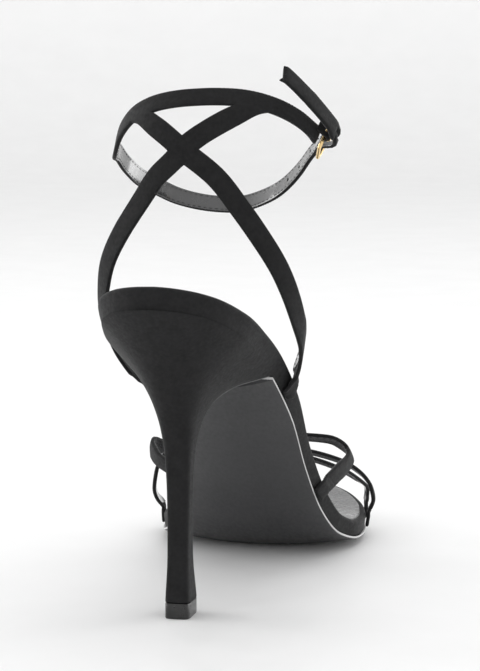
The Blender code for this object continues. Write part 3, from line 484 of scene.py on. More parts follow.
def plan_sides():
    """The footbed's outline as two dense lists of (run, distance from the centre line)."""
    outer = [Vector((width * out, run * RUN)) for run, width, out, _ in PLAN]
    inner = [Vector((-width * inn, run * RUN)) for run, width, _, inn in PLAN]
    ring = through(outer + inner[-2:0:-1], PLAN_POINTS, closed=True)
    half = PLAN_POINTS * (len(PLAN) - 1)
    return (
        [(p.y, p.x) for p in ring[: half + 1]],
        [(p.y, -p.x) for p in [ring[0]] + ring[: half - 1 : -1]],
    )


OUTER_SIDE, INNER_SIDE = plan_sides()


def plan_x(run, side):
    """Distance of the rim from the centre line, at a run from the back of the seat."""
    points = OUTER_SIDE if side > 0 else INNER_SIDE
    if run <= points[0][0]:
        return 0.0
    for (r0, x0), (r1, x1) in zip(points, points[1:]):
        if r0 <= run <= r1 and r1 > r0:
            return x0 + (x1 - x0) * (run - r0) / (r1 - r0)
    return 0.0


def rim_z(run):
    share = run / RUN
    return (
        BALL_RIM
        + (SEAT_RIM - BALL_RIM) * looked_up(PROFILE, share, 1)
        + TOE_SPRING * looked_up(PROFILE, share, 2)
    )


def wall_at(run):
    return WALL * looked_up(PROFILE, run / RUN, 3)


def tuck_at(run, side):
    return WAIST_TUCK * looked_up(PROFILE, run / RUN, 4 if side > 0 else 5)


def seat_z(run):
    """Top of the heel, just under the footbed."""
    return rim_z(run) - wall_at(run) - GAP


def placed(x, run, z):
    return Vector((x, run - SETBACK, z))


def plan_ring(runs, inset, back_pole=True):
    """The outline moved in by inset(run, side): back pole, outer side, toe pole, inner side."""
    sides = {}
    for side in (1, -1):
        points = []
        for run in runs:
            x0, x1 = plan_x(run - PLAN_STEP, side), plan_x(run + PLAN_STEP, side)
            along = Vector((x1 - x0, 2 * PLAN_STEP)).normalized()
            far = inset(run, side)
            points.append((side * (plan_x(run, side) - far * along.y), run + far * along.x))
        sides[side] = points
    toe = [(0.0, RUN - inset(RUN, 1))]
    back = [(0.0, inset(0.0, 1))] if back_pole else []
    return back + sides[1] + toe + sides[-1][::-1]


def spread(first, last, count, bunching):
    """Count + 1 values from first to last, drawn together at both ends by the bunching share."""
    values = []
    for i in range(count + 1):
        t = i / count
        bunched = (1 - math.cos(math.pi * t)) / 2
        values.append(first + (last - first) * ((1 - bunching) * t + bunching * bunched))
    return values


def verts_of(bm, points):
    return [bm.verts.new(p) for p in points]


def band(bm, ring_a, ring_b, closed=True):
    """Faces between two rows of as many points."""
    n = len(ring_a)
    for i in range(n if closed else n - 1):
        j = (i + 1) % n
        corners = []
        for v in (ring_a[i], ring_a[j], ring_b[j], ring_b[i]):
            if v not in corners:
                corners.append(v)
        if len(corners) > 2:
            bm.faces.new(corners)


def turns(count):
    return [2 * math.pi * k / count for k in range(count)]


def layered(bm, rows, closed=True):
    """Faces between each row of points and the next."""
    for low, high in zip(rows, rows[1:]):
        band(bm, low, high, closed)


def capped(bm, rings):
    """A closed skin over the rings, with a flat face at each end."""
    layered(bm, rings)
    bm.faces.new(rings[0])
    bm.faces.new(rings[-1])


def cover(bm, ring, columns, dish, back_pole=True):
    """Faces over a ring, in rows from its outer side to its inner side. Returns the rows."""
    rows = []
    first = 1 if back_pole else 0
    pairs = (len(ring) - (2 if back_pole else 1)) // 2
    for i in range(pairs):
        a, b = ring[first + i], ring[-1 - i]
        row = [a]
        for k in range(1, columns):
            t = k / columns
            p = a.co.lerp(b.co, t)
            p.z += dish(p, 1 - (2 * t - 1) ** 2)
            row.append(bm.verts.new(p))
        rows.append(row + [b])
    layered(bm, rows, closed=False)
    poles = [(rows[-1], ring[first + pairs])]
    if back_pole:
        poles.append((rows[0], ring[0]))
    for row, pole in poles:
        for a, b in zip(row, row[1:]):
            bm.faces.new((a, b, pole))
    return rows


def seat_ring():
    """Top of the heel: outer side from the back, breast from outer to inner, inner side back."""
    runs = [BREAST_RUN * (1 - math.cos(math.pi * i / HEEL_SIDE)) / 2 for i in range(HEEL_SIDE + 1)]
    sides = {}
    for side in (1, -1):
        sides[side] = [
            side * max(plan_x(run, side) - tuck_at(run, side) - SEAT_INSET, 0.0) for run in runs
        ]
    ring = [(sides[1][i], runs[i]) for i in range(HEEL_SIDE + 1)]
    for k in range(1, HEEL_COLUMNS):
        t = k / HEEL_COLUMNS
        ring.append((sides[1][-1] * (1 - t) + sides[-1][-1] * t, BREAST_RUN))
    ring += [(sides[-1][i], runs[i]) for i in range(HEEL_SIDE, 0, -1)]
    return ring


def rounded_square(squareness):
    """Unit outline with as many points as the seat's, from the back round the outer side."""
    corner = math.radians(BREAST_CORNER_ANGLE)
    angles = [corner * i / HEEL_SIDE for i in range(HEEL_SIDE + 1)]
    angles += [corner + (2 * math.pi - 2 * corner) * k / HEEL_COLUMNS for k in range(1, HEEL_COLUMNS)]
    angles += [2 * math.pi - a for a in angles[HEEL_SIDE:0:-1]]
    found = []
    for a in angles:
        s, c = math.sin(a), math.cos(a)
        found.append(
            (math.copysign(abs(s) ** (2 / squareness), s), -math.copysign(abs(c) ** (2 / squareness), c))
        )
    return found


def wall_inset(run, side, share):
    """How far the wall is tucked in, at a share of its depth below the rim."""
    below = tuck_at(run, side) + SOLE_LIP
    return below * smooth(share, (RIM_ROUNDING / wall_at(run), 0.5, 1.0), (0.0, WALL_BELLY, 1.0))


def around_leg(angle):
    """An unrolled angle brought back to one turn: 0 at the back, positive on the outer side."""
    return angle if angle > -180 else angle + 360


def leg_run(angle, height):
    """Run of the ring at an unrolled angle. Its straps stand square to the tilted loop."""
    c = math.cos(math.radians(angle))
    loop = LOOP_HEIGHT * looked_up(LOOP, angle, 1)
    lean = LOOP_LEAN * LEAN_REACH * math.tanh((height - loop) / LEAN_REACH)
    return LEG_RUN - (LEG_BACK if c > 0 else LEG_FRONT) * c + lean


def leg_point(angle, height):
    """Point of the ring around the leg, at an unrolled angle from the back."""
    around = around_leg(angle)
    side = 1 if around > 0 else -1
    share = height / LOOP_HEIGHT
    taut = looked_up(TAUT, around, 1) if side > 0 else 1.0
    half = LEG_OUTER * looked_up(LEG, share, 1) * taut if side > 0 else LEG_INNER * looked_up(LEG, share, 2)
    x = half * math.sin(math.radians(around))
    run = leg_run(angle, height)
    rim = rim_z(run)
    if height < rim + ROOT_RISE:
        depth = min(max((rim - height) / wall_at(run), 0.0), 1.0)
        wall = plan_x(run, side) + ROOT_GAP + STRAP_THICKNESS / 2 - wall_inset(run, side, depth)
        clear = (abs(x) + wall + math.hypot(abs(x) - wall, ROOT_BEND)) / 2
        x += side * (clear - abs(x)) * min((rim + ROOT_RISE - height) / ROOT_RISE, 1.0)
    return placed(x, run, height)


def vamp_point(girth, run):
    """Point of the form over the toes: girth 0 along the top, 1 at the outer edge of the sole."""
    side = 1 if girth >= 0 else -1
    share = run / RUN
    strap = GAP + STRAP_THICKNESS / 2
    girdle = BALL_WIDTH * looked_up(GIRDLE, share, 1 if side > 0 else 2)
    rise = VAMP_HEIGHT * looked_up(GIRDLE, share, 3) - rim_z(run)
    roundness = looked_up(GIRDLE, share, 4 if side > 0 else 5)
    rim = plan_x(run, side) + strap
    marks = [row[0] for row in VAULT] + [RIM_GIRTH]
    widths = [girdle * (row[1] + (row[3] - row[1]) * roundness) for row in VAULT] + [rim]
    heights = [rise * (row[2] + (row[4] - row[2]) * roundness) for row in VAULT] + [0.0]
    if abs(girth) > RIM_GIRTH:
        depth = (abs(girth) - RIM_GIRTH) / (1 - RIM_GIRTH)
        x = rim - wall_inset(run, side, min(depth, 1.0))
        return placed(side * x, run, rim_z(run) - wall_at(run) * depth)
    x = smooth(abs(girth), marks, widths)
    z = smooth(abs(girth), marks, heights)
    return placed(side * x, run, rim_z(run) + z)


def frame_at(form, at):
    """Position, the two derivatives and the outward normal of a form at a point of its pattern."""
    step = PATTERN_STEP
    here = form(at)
    du = (form(at + Vector((step, 0))) - form(at - Vector((step, 0)))) / (2 * step)
    dv = (form(at + Vector((0, step))) - form(at - Vector((0, step)))) / (2 * step)
    return here, du, dv, du.cross(dv).normalized()


def beside(form, at, along, far):
    """The pattern point that lies far to the side of a strap's middle, measured on the form."""
    here, du, dv, normal = frame_at(form, at)
    heading = (du * along.x + dv * along.y).normalized()
    side = heading.cross(normal)
    a, b, c = du.dot(du), du.dot(dv), dv.dot(dv)
    p, q = du.dot(side), dv.dot(side)
    under = a * c - b * b
    return at + far * Vector(((c * p - b * q) / under, (a * q - b * p) / under))


def ring_form(at):
    """The ring around the leg, unrolled."""
    return leg_point(at.x / ARC, at.y)


def ankle_form(at):
    """The same ring. Past the buckle the strap goes round again, lifted off it."""
    lift = STRAP_THICKNESS * looked_up(LIFT, at.x / ARC, 1)
    if lift == 0:
        return ring_form(at)
    here, _, _, normal = frame_at(ring_form, at)
    return here + normal * lift


def vamp_form(at):
    return vamp_point(at.x / GIRTH_LENGTH, at.y)


def hem_height(angle, depth=1.0):
    """Height on the wall where a strap comes down at this angle: the rim at depth 0, the outsole at 1."""
    run = leg_run(angle, 0.0)
    return rim_z(run) - wall_at(run) * depth


def within(outline, at):
    """Whether a pattern point lies inside a closed outline."""
    odd = False
    for a, b in zip(outline, outline[1:] + outline[:1]):
        if (a.y > at.y) != (b.y > at.y) and at.x < a.x + (at.y - a.y) * (b.x - a.x) / (b.y - a.y):
            odd = not odd
    return odd


def outline_of(pairs):
    return [a for a, _ in pairs] + [b for _, b in reversed(pairs)]


def prong_hole():
    """Outline of the slot that the prong passes through."""
    middles = []
    for angle in HOLE_ANGLES:
        rise = looked_up(LOOP, angle, 1)
        middles.append(Vector((angle * ARC, rise * LOOP_HEIGHT, SLOT_WIDTH)))
    return outline_of(laned(ankle_form, middles)[0])


def buckle_axes():
    """Middle of the heel bar, the way to the front bar, and the unit ways across the strap and outwards."""
    bars = []
    for angle, rise in ((HEEL_BAR_ANGLE, HEEL_BAR_RISE), (FRONT_BAR_ANGLE, FRONT_BAR_RISE)):
        here, _, _, normal = frame_at(ring_form, Vector((angle * ARC, rise * LOOP_HEIGHT)))
        bars.append(here + normal * (STRAP_THICKNESS / 2 + GAP + WIRE / 2))
    span = bars[1] - bars[0]
    across = normal.cross(span).normalized()
    return bars[0], span, across, span.cross(across).normalized()


def made(name, bm, finish):
    """Turns the faces outwards, and makes a smooth-shaded piece that rides on the shoe."""
    bmesh.ops.recalc_face_normals(bm, faces=bm.faces)
    if bm.calc_volume(signed=True) < 0:
        bmesh.ops.reverse_faces(bm, faces=bm.faces)
    mesh = bpy.data.meshes.new(name)
    bm.to_mesh(mesh)
    bm.free()
    mesh.shade_smooth()
    mesh.set_sharp_from_angle(angle=math.radians(SHARP_ANGLE))
    mesh.materials.append(finish)
    obj = bpy.data.objects.new(name, mesh)
    bpy.context.scene.collection.objects.link(obj)
    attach(obj, "root")
    return obj


def plan_level(bm, runs, inset, height, back_pole=True):
    return verts_of(bm, [placed(x, run, height(run)) for x, run in plan_ring(runs, inset, back_pole)])


def wall_level(bm, runs, share):
    """A level of the footbed's wall: share 0 just under its rounded rim, 1 at its lower edge."""

    def depth(run):
        start = RIM_ROUNDING / wall_at(run)
        return start + (1 - start) * share

    def inset(run, side):
        return wall_inset(run, side, depth(run))

    def height(run):
        return rim_z(run) - wall_at(run) * depth(run)

    return plan_level(bm, runs, inset, height)


def rim_level(bm, runs, inset, rise):
    """A level inside the footbed's rim, lifted off it or sunk."""
    return plan_level(bm, runs, lambda run, side: inset, lambda run: rim_z(run) + rise)


def sole_level(bm, runs, inset, drop):
    """A level of the sole's edge, inside the tucked wall and below the footbed, never under the floor."""

    def tucked(run, side):
        return tuck_at(run, side) + inset

    def height(run):
        return max(seat_z(run) - drop, 0.0)

    return plan_level(bm, runs, tucked, height, back_pole=False)


def footbed_cover(finish):
    """The footbed's wrapped wall: bellied, rounded over the rim and closed below."""
    runs = spread(0.0, RUN, FOOTBED_ROWS, FOOTBED_BUNCHING)[1:-1]
    bm = bmesh.new()
    rings = [wall_level(bm, runs, 1 - k / WALL_LEVELS) for k in range(WALL_LEVELS + 1)]
    for k in range(1, RIM_LEVELS + 1):
        a = math.pi / 2 * k / RIM_LEVELS
        aside, down = RIM_ROUNDING * (1 - math.cos(a)), RIM_ROUNDING * (1 - math.sin(a))
        rings.append(rim_level(bm, runs, aside, -down))
    layered(bm, rings)
    cover(bm, rings[-1], FOOTBED_COLUMNS, lambda p, middle: -INSOLE_DISH * middle)
    cover(bm, rings[0], FOOTBED_COLUMNS, lambda p, middle: 0.0)
    return made("footbed_cover", bm, finish)


def insole_sock(finish):
    """The glossy lining glued on the footbed, a little in from its rim, softly padded."""
    runs = spread(0.0, RUN, FOOTBED_ROWS, FOOTBED_BUNCHING)[1:-1]
    bm = bmesh.new()
    rings = [rim_level(bm, runs, inset, height) for inset, height in SOCK_EDGE]
    layered(bm, rings)

    def padded(p, middle):
        pad = looked_up(SOCK_PADS, (p.y + SETBACK) / RUN, 1) * SOCK_PAD
        return pad * middle**SOCK_ROUNDNESS - INSOLE_DISH * middle

    cover(bm, rings[-1], FOOTBED_COLUMNS, padded)
    cover(bm, rings[0], FOOTBED_COLUMNS, lambda p, middle: -INSOLE_DISH * middle)
    return made("insole_sock", bm, finish)


def sole_cover(finish):
    """The smooth sole, crowned below, with a rounded lower edge."""
    runs = spread(BREAST_RUN + GAP, RUN, SOLE_ROWS, SOLE_BUNCHING)[:-1]
    bm = bmesh.new()
    rings = [sole_level(bm, runs, inset, drop * SOLE_EDGE) for inset, drop in SOLE_LEVELS]
    layered(bm, rings, closed=False)
    cover(bm, rings[0], SOLE_COLUMNS, lambda p, middle: 0.0, back_pole=False)
    cover(bm, rings[-1], SOLE_COLUMNS, lambda p, middle: max(-SOLE_CROWN * middle, -p.z), back_pole=False)
    bmesh.ops.holes_fill(bm, edges=[e for e in bm.edges if e.is_boundary])
    return made("sole_cover", bm, finish)


def sole_edge_band(finish):
    """The sole's edge, a thin raised band all round it, painted pale: partly the edge's own light tone,
    partly a painted highlight of the light its rim catches.
    """
    runs = spread(BREAST_RUN + GAP, RUN, SOLE_ROWS, SOLE_BUNCHING)[:-1]
    bm = bmesh.new()
    section = (
        (BAND_DEPTH, 0.0),
        (-BAND_PROUD + BAND_ROUNDING, 0.0),
        (-BAND_PROUD, BAND_ROUNDING),
        (-BAND_PROUD, BAND_HEIGHT - BAND_ROUNDING),
        (-BAND_PROUD + BAND_ROUNDING, BAND_HEIGHT),
        (BAND_DEPTH, BAND_HEIGHT),
    )
    rings = [sole_level(bm, runs, inset, drop) for inset, drop in section]
    layered(bm, rings + rings[:1])
    return made("sole_edge_band", bm, finish)


def heel_rings():
    """Rows of points round the heel, from its tip up to the seat."""
    seat = seat_ring()
    half = max(abs(x) for x, _ in seat)
    seat_back, seat_front = seat_z(0.0), seat_z(BREAST_RUN)
    back_share, front_share = ((SETBACK + end * TIP_LENGTH / 2) / BREAST_RUN for end in (-1, 1))
    low = (TIP_HEIGHT + GAP) / seat_back
    bottom = (back_share, low, front_share, low, TIP_WIDTH / 2 / half, TIP_SQUARENESS, 0.0)
    top = (0.0, 1.0, 1.0, seat_front / seat_back, 1.0, SEAT_SQUARENESS, 1.0)
    rows = (bottom,) + HEEL + (top,)
    columns = [curve(list(range(len(rows))), list(column)) for column in zip(*rows)]
    rings = []
    for step in range((len(rows) - 1) * HEEL_STEPS + 1):
        back, back_z, front, front_z, width, square, likeness = (c(step / HEEL_STEPS) for c in columns)
        ring = []
        for (u, v), (seat_x, seat_run) in zip(rounded_square(square), seat):
            seat_v = 2 * seat_run / BREAST_RUN - 1
            x = (1 - likeness) * u * half + likeness * seat_x
            t = ((1 - likeness) * v + likeness * seat_v + 1) / 2
            bend = seat_z(seat_run) - (seat_back + (seat_front - seat_back) * seat_run / BREAST_RUN)
            z = (back_z + (front_z - back_z) * t) * seat_back
            z += bend * likeness**SEAT_BEND_POWER + GAP * likeness**SEAT_LIFT_POWER
            ring.append(placed(x * width, (back + (front - back) * t) * BREAST_RUN, z))
        rings.append(ring)
    return rings


def heel_cover(finish):
    """The covered stiletto, with a smooth skin from the tip to the seat."""
    bm = bmesh.new()
    rings = [verts_of(bm, ring) for ring in heel_rings()]
    layered(bm, rings)
    bm.faces.new(rings[0])
    top = rings[-1]
    rows = []
    for i in range(1, HEEL_SIDE):
        a, b = top[i], top[-i]
        mids = [bm.verts.new(a.co.lerp(b.co, k / HEEL_COLUMNS)) for k in range(1, HEEL_COLUMNS)]
        rows.append([a] + mids + [b])
    rows.append(top[HEEL_SIDE : HEEL_SIDE + HEEL_COLUMNS + 1])
    layered(bm, rows, closed=False)
    for a, b in zip(rows[0], rows[0][1:]):
        bm.faces.new((a, b, top[0]))
    return made("heel_cover", bm, finish)


def add_tube(bm, points, radii, sides):
    """A closed round tube along the points."""
    side = None
    rings = []
    for i, p in enumerate(points):
        along = (points[min(i + 1, len(points) - 1)] - points[max(i - 1, 0)]).normalized()
        if side is None:
            side = along.orthogonal()
        side = (side - along * side.dot(along)).normalized()
        other = along.cross(side)
        ring = [p + (side * math.cos(t) + other * math.sin(t)) * radii[i] for t in turns(sides)]
        rings.append(verts_of(bm, ring))
    capped(bm, rings)


def heel_edge_highlights(finish):
    """Fine tubes along the heel's breast edges, one at each side, painted pale as a painted highlight of
    the light those edges catch.
    """
    bm = bmesh.new()
    rings = heel_rings()
    for corner in (HEEL_SIDE, HEEL_SIDE + HEEL_COLUMNS):
        line = [ring[corner] for ring in rings[2 * HEEL_STEPS : -1]]
        radii = [EDGE_HIGHLIGHT_RADIUS * min(i / HEEL_STEPS, 1.0) + EDGE_HIGHLIGHT_THINNEST for i in range(len(line))]
        add_tube(bm, line, radii, EDGE_HIGHLIGHT_SIDES)
    return made("heel_edge_highlights", bm, finish)


def top_piece_block(finish):
    """The small hard block that the heel stands on, with softened edges."""
    bm = bmesh.new()
    rings = []
    for inset, height in TIP_LEVELS:
        shape = rounded_square(TIP_SQUARENESS)
        width, length = TIP_WIDTH / 2 - inset, TIP_LENGTH / 2 - inset
        rings.append(verts_of(bm, [placed(u * width, SETBACK + v * length, height) for u, v in shape]))
    capped(bm, rings)
    return made("top_piece_block", bm, finish)


def lengths_of(points):
    """How far along the line each point lies, seen in the pattern."""
    lengths = [0.0]
    for a, b in zip(points, points[1:]):
        lengths.append(lengths[-1] + (b - a).to_2d().length)
    return lengths


def along_line(points, lengths, stop):
    """The point at a length along the line, and the way that the line runs there."""
    i = min(max(bisect.bisect_right(lengths, stop) - 1, 0), len(points) - 2)
    here = points[i].lerp(points[i + 1], (stop - lengths[i]) / (lengths[i + 1] - lengths[i]))
    return here, (points[i + 1] - points[i]).to_2d()


def rows_along(points):
    """The path's points again, a row step apart, with fine rows near both ends."""
    lengths = lengths_of(points)
    total = lengths[-1]
    count = round(total / ROW_STEP)
    stops = {0.0, total, *EDGE_LANES, *(total - lane for lane in EDGE_LANES)}
    stops |= {total * k / count for k in range(1, count)}
    return [along_line(points, lengths, stop)[0] for stop in sorted(stops)]


def laned(form, path, trim=0.0):
    """A strap in the pattern: its two edges as pairs of points, and the rows of points between them."""
    pairs, lanes = [], []
    for i, (x, y, width) in enumerate(path):
        at = Vector((x, y))
        width -= 2 * trim
        along = (path[min(i + 1, len(path) - 1)] - path[max(i - 1, 0)]).to_2d()
        across = beside(form, at, along, 1.0) - at
        pairs.append((at + across * width / 2, at - across * width / 2))
        for inset in EDGE_LANES:
            lanes += [at + across * side * (width / 2 - inset) for side in (1, -1)]
        lanes += [at + across * share * width for share in MIDDLE_LANES]
    return pairs, lanes


def area_of(outline):
    """Area of a closed outline, positive where it runs anticlockwise."""
    return sum(a.cross(b) for a, b in zip(outline, outline[1:] + outline[:1])) / 2


def cut_pattern(straps, lines, kept):
    """Lays straps over one another, and returns the points and triangles of their union."""
    points, edges, faces = [], [], []
    outlines = []
    for pairs, lanes in straps:
        outline = outline_of(pairs)
        if area_of(outline) < 0:
            outline.reverse()
        faces.append(tuple(range(len(points), len(points) + len(outline))))
        points += outline
        points += [p for p in lanes if not any(within(earlier, p) for earlier in outlines)]
        outlines.append(outline)
    for line in lines:
        first = len(points)
        points += line
        edges += [(first + i, first + i + 1) for i in range(len(line) - 1)]
    flat, _, triangles, _, _, sources = delaunay_2d_cdt(points, edges, faces, CDT_INSIDE, PATTERN_WELD)
    kept_triangles = []
    for corners, source in zip(triangles, sources):
        middle = sum((flat[i] for i in corners), Vector((0, 0))) / len(corners)
        if source and kept(middle):
            kept_triangles.append(tuple(corners))
    return flat, kept_triangles


def border_distances(places, border):
    """How far each place lies from the nearest border edge, in metres."""
    a = np.array([places[i] for i, _ in border])
    b = np.array([places[j] for _, j in border])
    run = b - a
    span = np.maximum((run**2).sum(1), TINY_SPAN)
    found = {}
    for i, p in places.items():
        t = np.clip(((p - a) * run).sum(1) / span, 0, 1)
        found[i] = float(np.sqrt(((a + run * t[:, None] - p) ** 2).sum(1).min()))
    return found


def sewn(form, flat, triangles, low, high, rounding):
    """A closed sheet over the form, from low to high along its normal, with rounded borders."""
    frames = {}
    uses = {}
    for corners in triangles:
        for i in corners:
            if i not in frames:
                here, _, _, normal = frame_at(form, flat[i])
                waver = WAVER * noise.noise(here * WAVER_SCALE)
                frames[i] = (here + normal * waver, normal)
        for a, b in zip(corners, corners[1:] + corners[:1]):
            uses.setdefault(frozenset((a, b)), []).append((a, b))
    border = [ends[0] for ends in uses.values() if len(ends) == 1]
    distances = border_distances({i: np.array(here) for i, (here, _) in frames.items()}, border)
    bm = bmesh.new()
    outer, inner = {}, {}
    for i, (here, normal) in frames.items():
        short = rounding - min(distances[i], rounding)
        lost = rounding - math.sqrt(max(rounding**2 - short**2, 0.0))
        outer[i] = bm.verts.new(here + normal * (high - lost))
        inner[i] = bm.verts.new(here + normal * (low + lost / 2))
    for corners in triangles:
        bm.faces.new([outer[i] for i in corners])
        bm.faces.new([inner[i] for i in reversed(corners)])
    for a, b in border:
        bm.faces.new((outer[b], outer[a], inner[a], inner[b]))
    return bm


def strap_layer(name, form, straps, lines, kept, layer, finish):
    """One layer of joined straps, cut from the pattern and laid on the form."""
    flat, triangles = cut_pattern(straps, lines, kept)
    return made(name, sewn(form, flat, triangles, *layer), finish)


def paths_of(tables, across, up):
    """Each strap's middle line in the pattern, with its width, in even rows."""
    paths = []
    for table, width in tables:
        points = [Vector((first * across, second * up, share * width)) for first, second, share in table]
        paths.append(rows_along(through(points, SPAN_POINTS)))
    return paths


def add_stitches(bm, form, path, skipped):
    """Two rows of short stitches along a strap's lining."""
    lengths = lengths_of(path)
    for k in range(1, int(lengths[-1] / STITCH_PITCH)):
        (x, y, width), along = along_line(path, lengths, k * STITCH_PITCH)
        for side in (1, -1):
            at = beside(form, Vector((x, y)), along, side * (width / 2 - STITCH_INSET))
            if skipped(at):
                continue
            here, du, dv, normal = frame_at(form, at)
            heading = (du * along.x + dv * along.y).normalized()
            line = []
            for share, sink, _ in STITCH_FORM:
                depth = -LINING_LOW - sink * STITCH_RADIUS
                line.append(here + heading * share * STITCH_LENGTH - normal * depth)
            add_tube(bm, line, [STITCH_RADIUS * thick for _, _, thick in STITCH_FORM], STITCH_SIDES)


def punched_hole(angle):
    """Outline of a small round hole in the loop's strap."""
    middle = Vector((angle * ARC, looked_up(LOOP, angle, 1) * LOOP_HEIGHT))
    _, du, dv, _ = frame_at(ankle_form, middle)
    ways = [Vector((math.cos(t) / du.length, math.sin(t) / dv.length)) for t in turns(PUNCHED_FACETS)]
    return [middle + PUNCHED_RADIUS * way for way in ways]


def ankle_pieces(cover_finish, lining_finish, thread):
    """The crossed straps, the loop and its tail: cover, lining and stitches. Returns the cover."""
    tables = ((OUTER_RISE, STRAP_WIDTH), (INNER_RISE, STRAP_WIDTH), (LOOP, LOOP_WIDTH))
    paths = paths_of(tables, ARC, LOOP_HEIGHT)
    lining_depth = -LINING_START / WALL
    lines = []
    for side in (1, -1):
        angles = [side * (HEM_FIRST + k * HEM_STEP) for k in range(HEM_POINTS)]
        for depth in (1.0, lining_depth):
            lines.append([Vector((angle * ARC, hem_height(angle, depth))) for angle in angles])
    holes = [prong_hole()] + [punched_hole(angle) for angle in PUNCHED_ANGLES]
    lines += [hole + hole[:1] for hole in holes]

    def kept_above(depth):
        def kept(at):
            above = at.y > HEM_TOP * LOOP_HEIGHT or at.y > hem_height(at.x / ARC, depth)
            return above and not any(within(hole, at) for hole in holes)

        return kept

    straps = [laned(ankle_form, path) for path in paths]
    covers = strap_layer(
        "ankle_straps", ankle_form, straps, lines, kept_above(1.0), COVER_LAYER, cover_finish
    )
    thin = [laned(ankle_form, path, LINING_INSET) for path in paths[:-1]]
    thin.append(laned(ankle_form, paths[-1][:-LINING_END_ROWS], LINING_INSET))
    kept = kept_above(lining_depth)
    strap_layer("ankle_lining", ankle_form, thin, lines, kept, LINING_LAYER, lining_finish)
    outlines = [outline_of(pairs) for pairs, _ in straps]
    bm = bmesh.new()
    for i, path in enumerate(paths):
        others = outlines[:i] + outlines[i + 1 :]

        def skipped(at, others=others):
            return not kept(at) or any(within(outline, at) for outline in others)

        add_stitches(bm, ankle_form, path, skipped)
    made("ankle_stitches", bm, thread)
    return covers


def toe_pieces(cover_finish, lining_finish, thread):
    """The band over the toes and the thin straps: cover, lining and stitches. Returns the cover."""
    thin_tables = (REAR_TOE_STRAP, FRONT_TOE_STRAP, INNER_TOE_STRAP)
    tables = [(VAMP_BAND, TOE_STRAP_WIDTH)] + [(table, THIN_STRAP_WIDTH) for table in thin_tables]
    paths = paths_of(tables, GIRTH_LENGTH, RUN)
    creases = []
    for girth in (LINING_GIRTH, 1.0):
        for side in (1, -1):
            across = side * girth * GIRTH_LENGTH
            creases.append([Vector((across, share * RUN)) for share in (CREASE_FIRST, CREASE_LAST)])

    def kept_within(girth):
        return lambda at: abs(at.x) < GIRTH_LENGTH * girth

    straps = [laned(vamp_form, path) for path in paths]
    covers = strap_layer(
        "vamp_straps", vamp_form, straps, creases, kept_within(1.0), COVER_LAYER, cover_finish
    )
    thin = [laned(vamp_form, path, LINING_INSET) for path in paths]
    kept = kept_within(LINING_GIRTH)
    strap_layer("vamp_lining", vamp_form, thin, creases, kept, LINING_LAYER, lining_finish)
    outlines = [outline_of(pairs) for pairs, _ in straps[1:]]

    def skipped(at):
        return abs(at.x) > GIRTH_LENGTH * LINING_GIRTH or any(within(outline, at) for outline in outlines)

    bm = bmesh.new()
    add_stitches(bm, vamp_form, paths[0], skipped)
    made("vamp_stitches", bm, thread)
    return covers


def buckle_wire(finish):
    """The buckle's frame: a rounded rectangle of polished wire."""
    heel_bar, span, across, out = buckle_axes()
    along = span.normalized()
    middle = heel_bar + span / 2
    reach, half = span.length / 2 - FRAME_CORNER, (FRAME_LENGTH - WIRE) / 2 - FRAME_CORNER
    bm = bmesh.new()
    rings = []
    for right, up in ((1, 1), (-1, 1), (-1, -1), (1, -1)):
        start = math.atan2(up, right) - math.pi / 4
        for k in range(CORNER_FACETS + 1):
            a = start + math.pi / 2 * k / CORNER_FACETS
            aside = along * math.cos(a) + across * math.sin(a)
            centre = middle + along * right * reach + across * up * half + aside * FRAME_CORNER
            ways = [aside * math.cos(t) + out * math.sin(t) for t in turns(WIRE_FACETS)]
            rings.append(verts_of(bm, [centre + way * WIRE / 2 for way in ways]))
    layered(bm, rings + rings[:1])
    return made("buckle_wire", bm, finish)


def buckle_pin(finish):
    """The prong: a round pin hooked over the heel bar, drawn to a blunt point over the front bar."""
    heel_bar, span, _, out = buckle_axes()
    along = span.normalized()
    bend = WIRE / 2 + GAP + PRONG_THICKNESS / 2
    line = through([heel_bar + along * s * bend + out * n * bend for s, n in PRONG_LINE], PRONG_FACETS)
    last = len(line) - 1
    radii = [PRONG_THICKNESS / 2 * (1 - (1 - PRONG_TIP) * (i / last) ** 4) for i in range(last + 1)]
    bm = bmesh.new()
    add_tube(bm, line, radii, PRONG_SIDES)
    return made("buckle_pin", bm, finish)


def keeper_fold(finish):
    """The fold of strap that holds the frame, with a slot for the prong."""
    heel_bar, span, across, out = buckle_axes()
    along = span.normalized()
    bend = WIRE / 2 + GAP + KEEPER_THICKNESS / 2
    line = through([Vector((s * bend, n * bend)) for s, n in KEEPER_FOLD], PRONG_FACETS)
    lengths = lengths_of(line)

    def form(at):
        (s, n), _ = along_line(line, lengths, at.x)
        return heel_bar + along * s + across * at.y + out * n

    top = lengths[max(range(len(line)), key=lambda i: line[i].y)]
    slot = [Vector((top + x, y * SLOT_WIDTH / 2)) for x, y in SLOT_OUTLINE]
    straps = [laned(form, [Vector((x, 0.0, KEEPER_WIDTH)) for x in lengths])]
    layer = (-KEEPER_THICKNESS / 2, KEEPER_THICKNESS / 2, KEEPER_ROUNDING)
    lines = [slot + slot[:1]]
    return strap_layer("keeper_fold", form, straps, lines, lambda at: not within(slot, at), layer, finish)


def own_place(tree):
    """Coordinates in the shoe's own metres."""
    return tree.nodes.new("ShaderNodeTexCoord").outputs["Object"]


def noise_field(tree, scale, detail, stretch):
    """Fine noise, drawn out along the axis where its stretch is small."""
    mapping = tree.nodes.new("ShaderNodeMapping")
    mapping.inputs["Scale"].default_value = stretch
    texture = tree.nodes.new("ShaderNodeTexNoise")
    texture.inputs["Scale"].default_value = scale
    texture.inputs["Detail"].default_value = detail
    tree.links.new(own_place(tree), mapping.inputs["Vector"])
    tree.links.new(mapping.outputs["Vector"], texture.inputs["Vector"])
    return texture.outputs["Fac"]


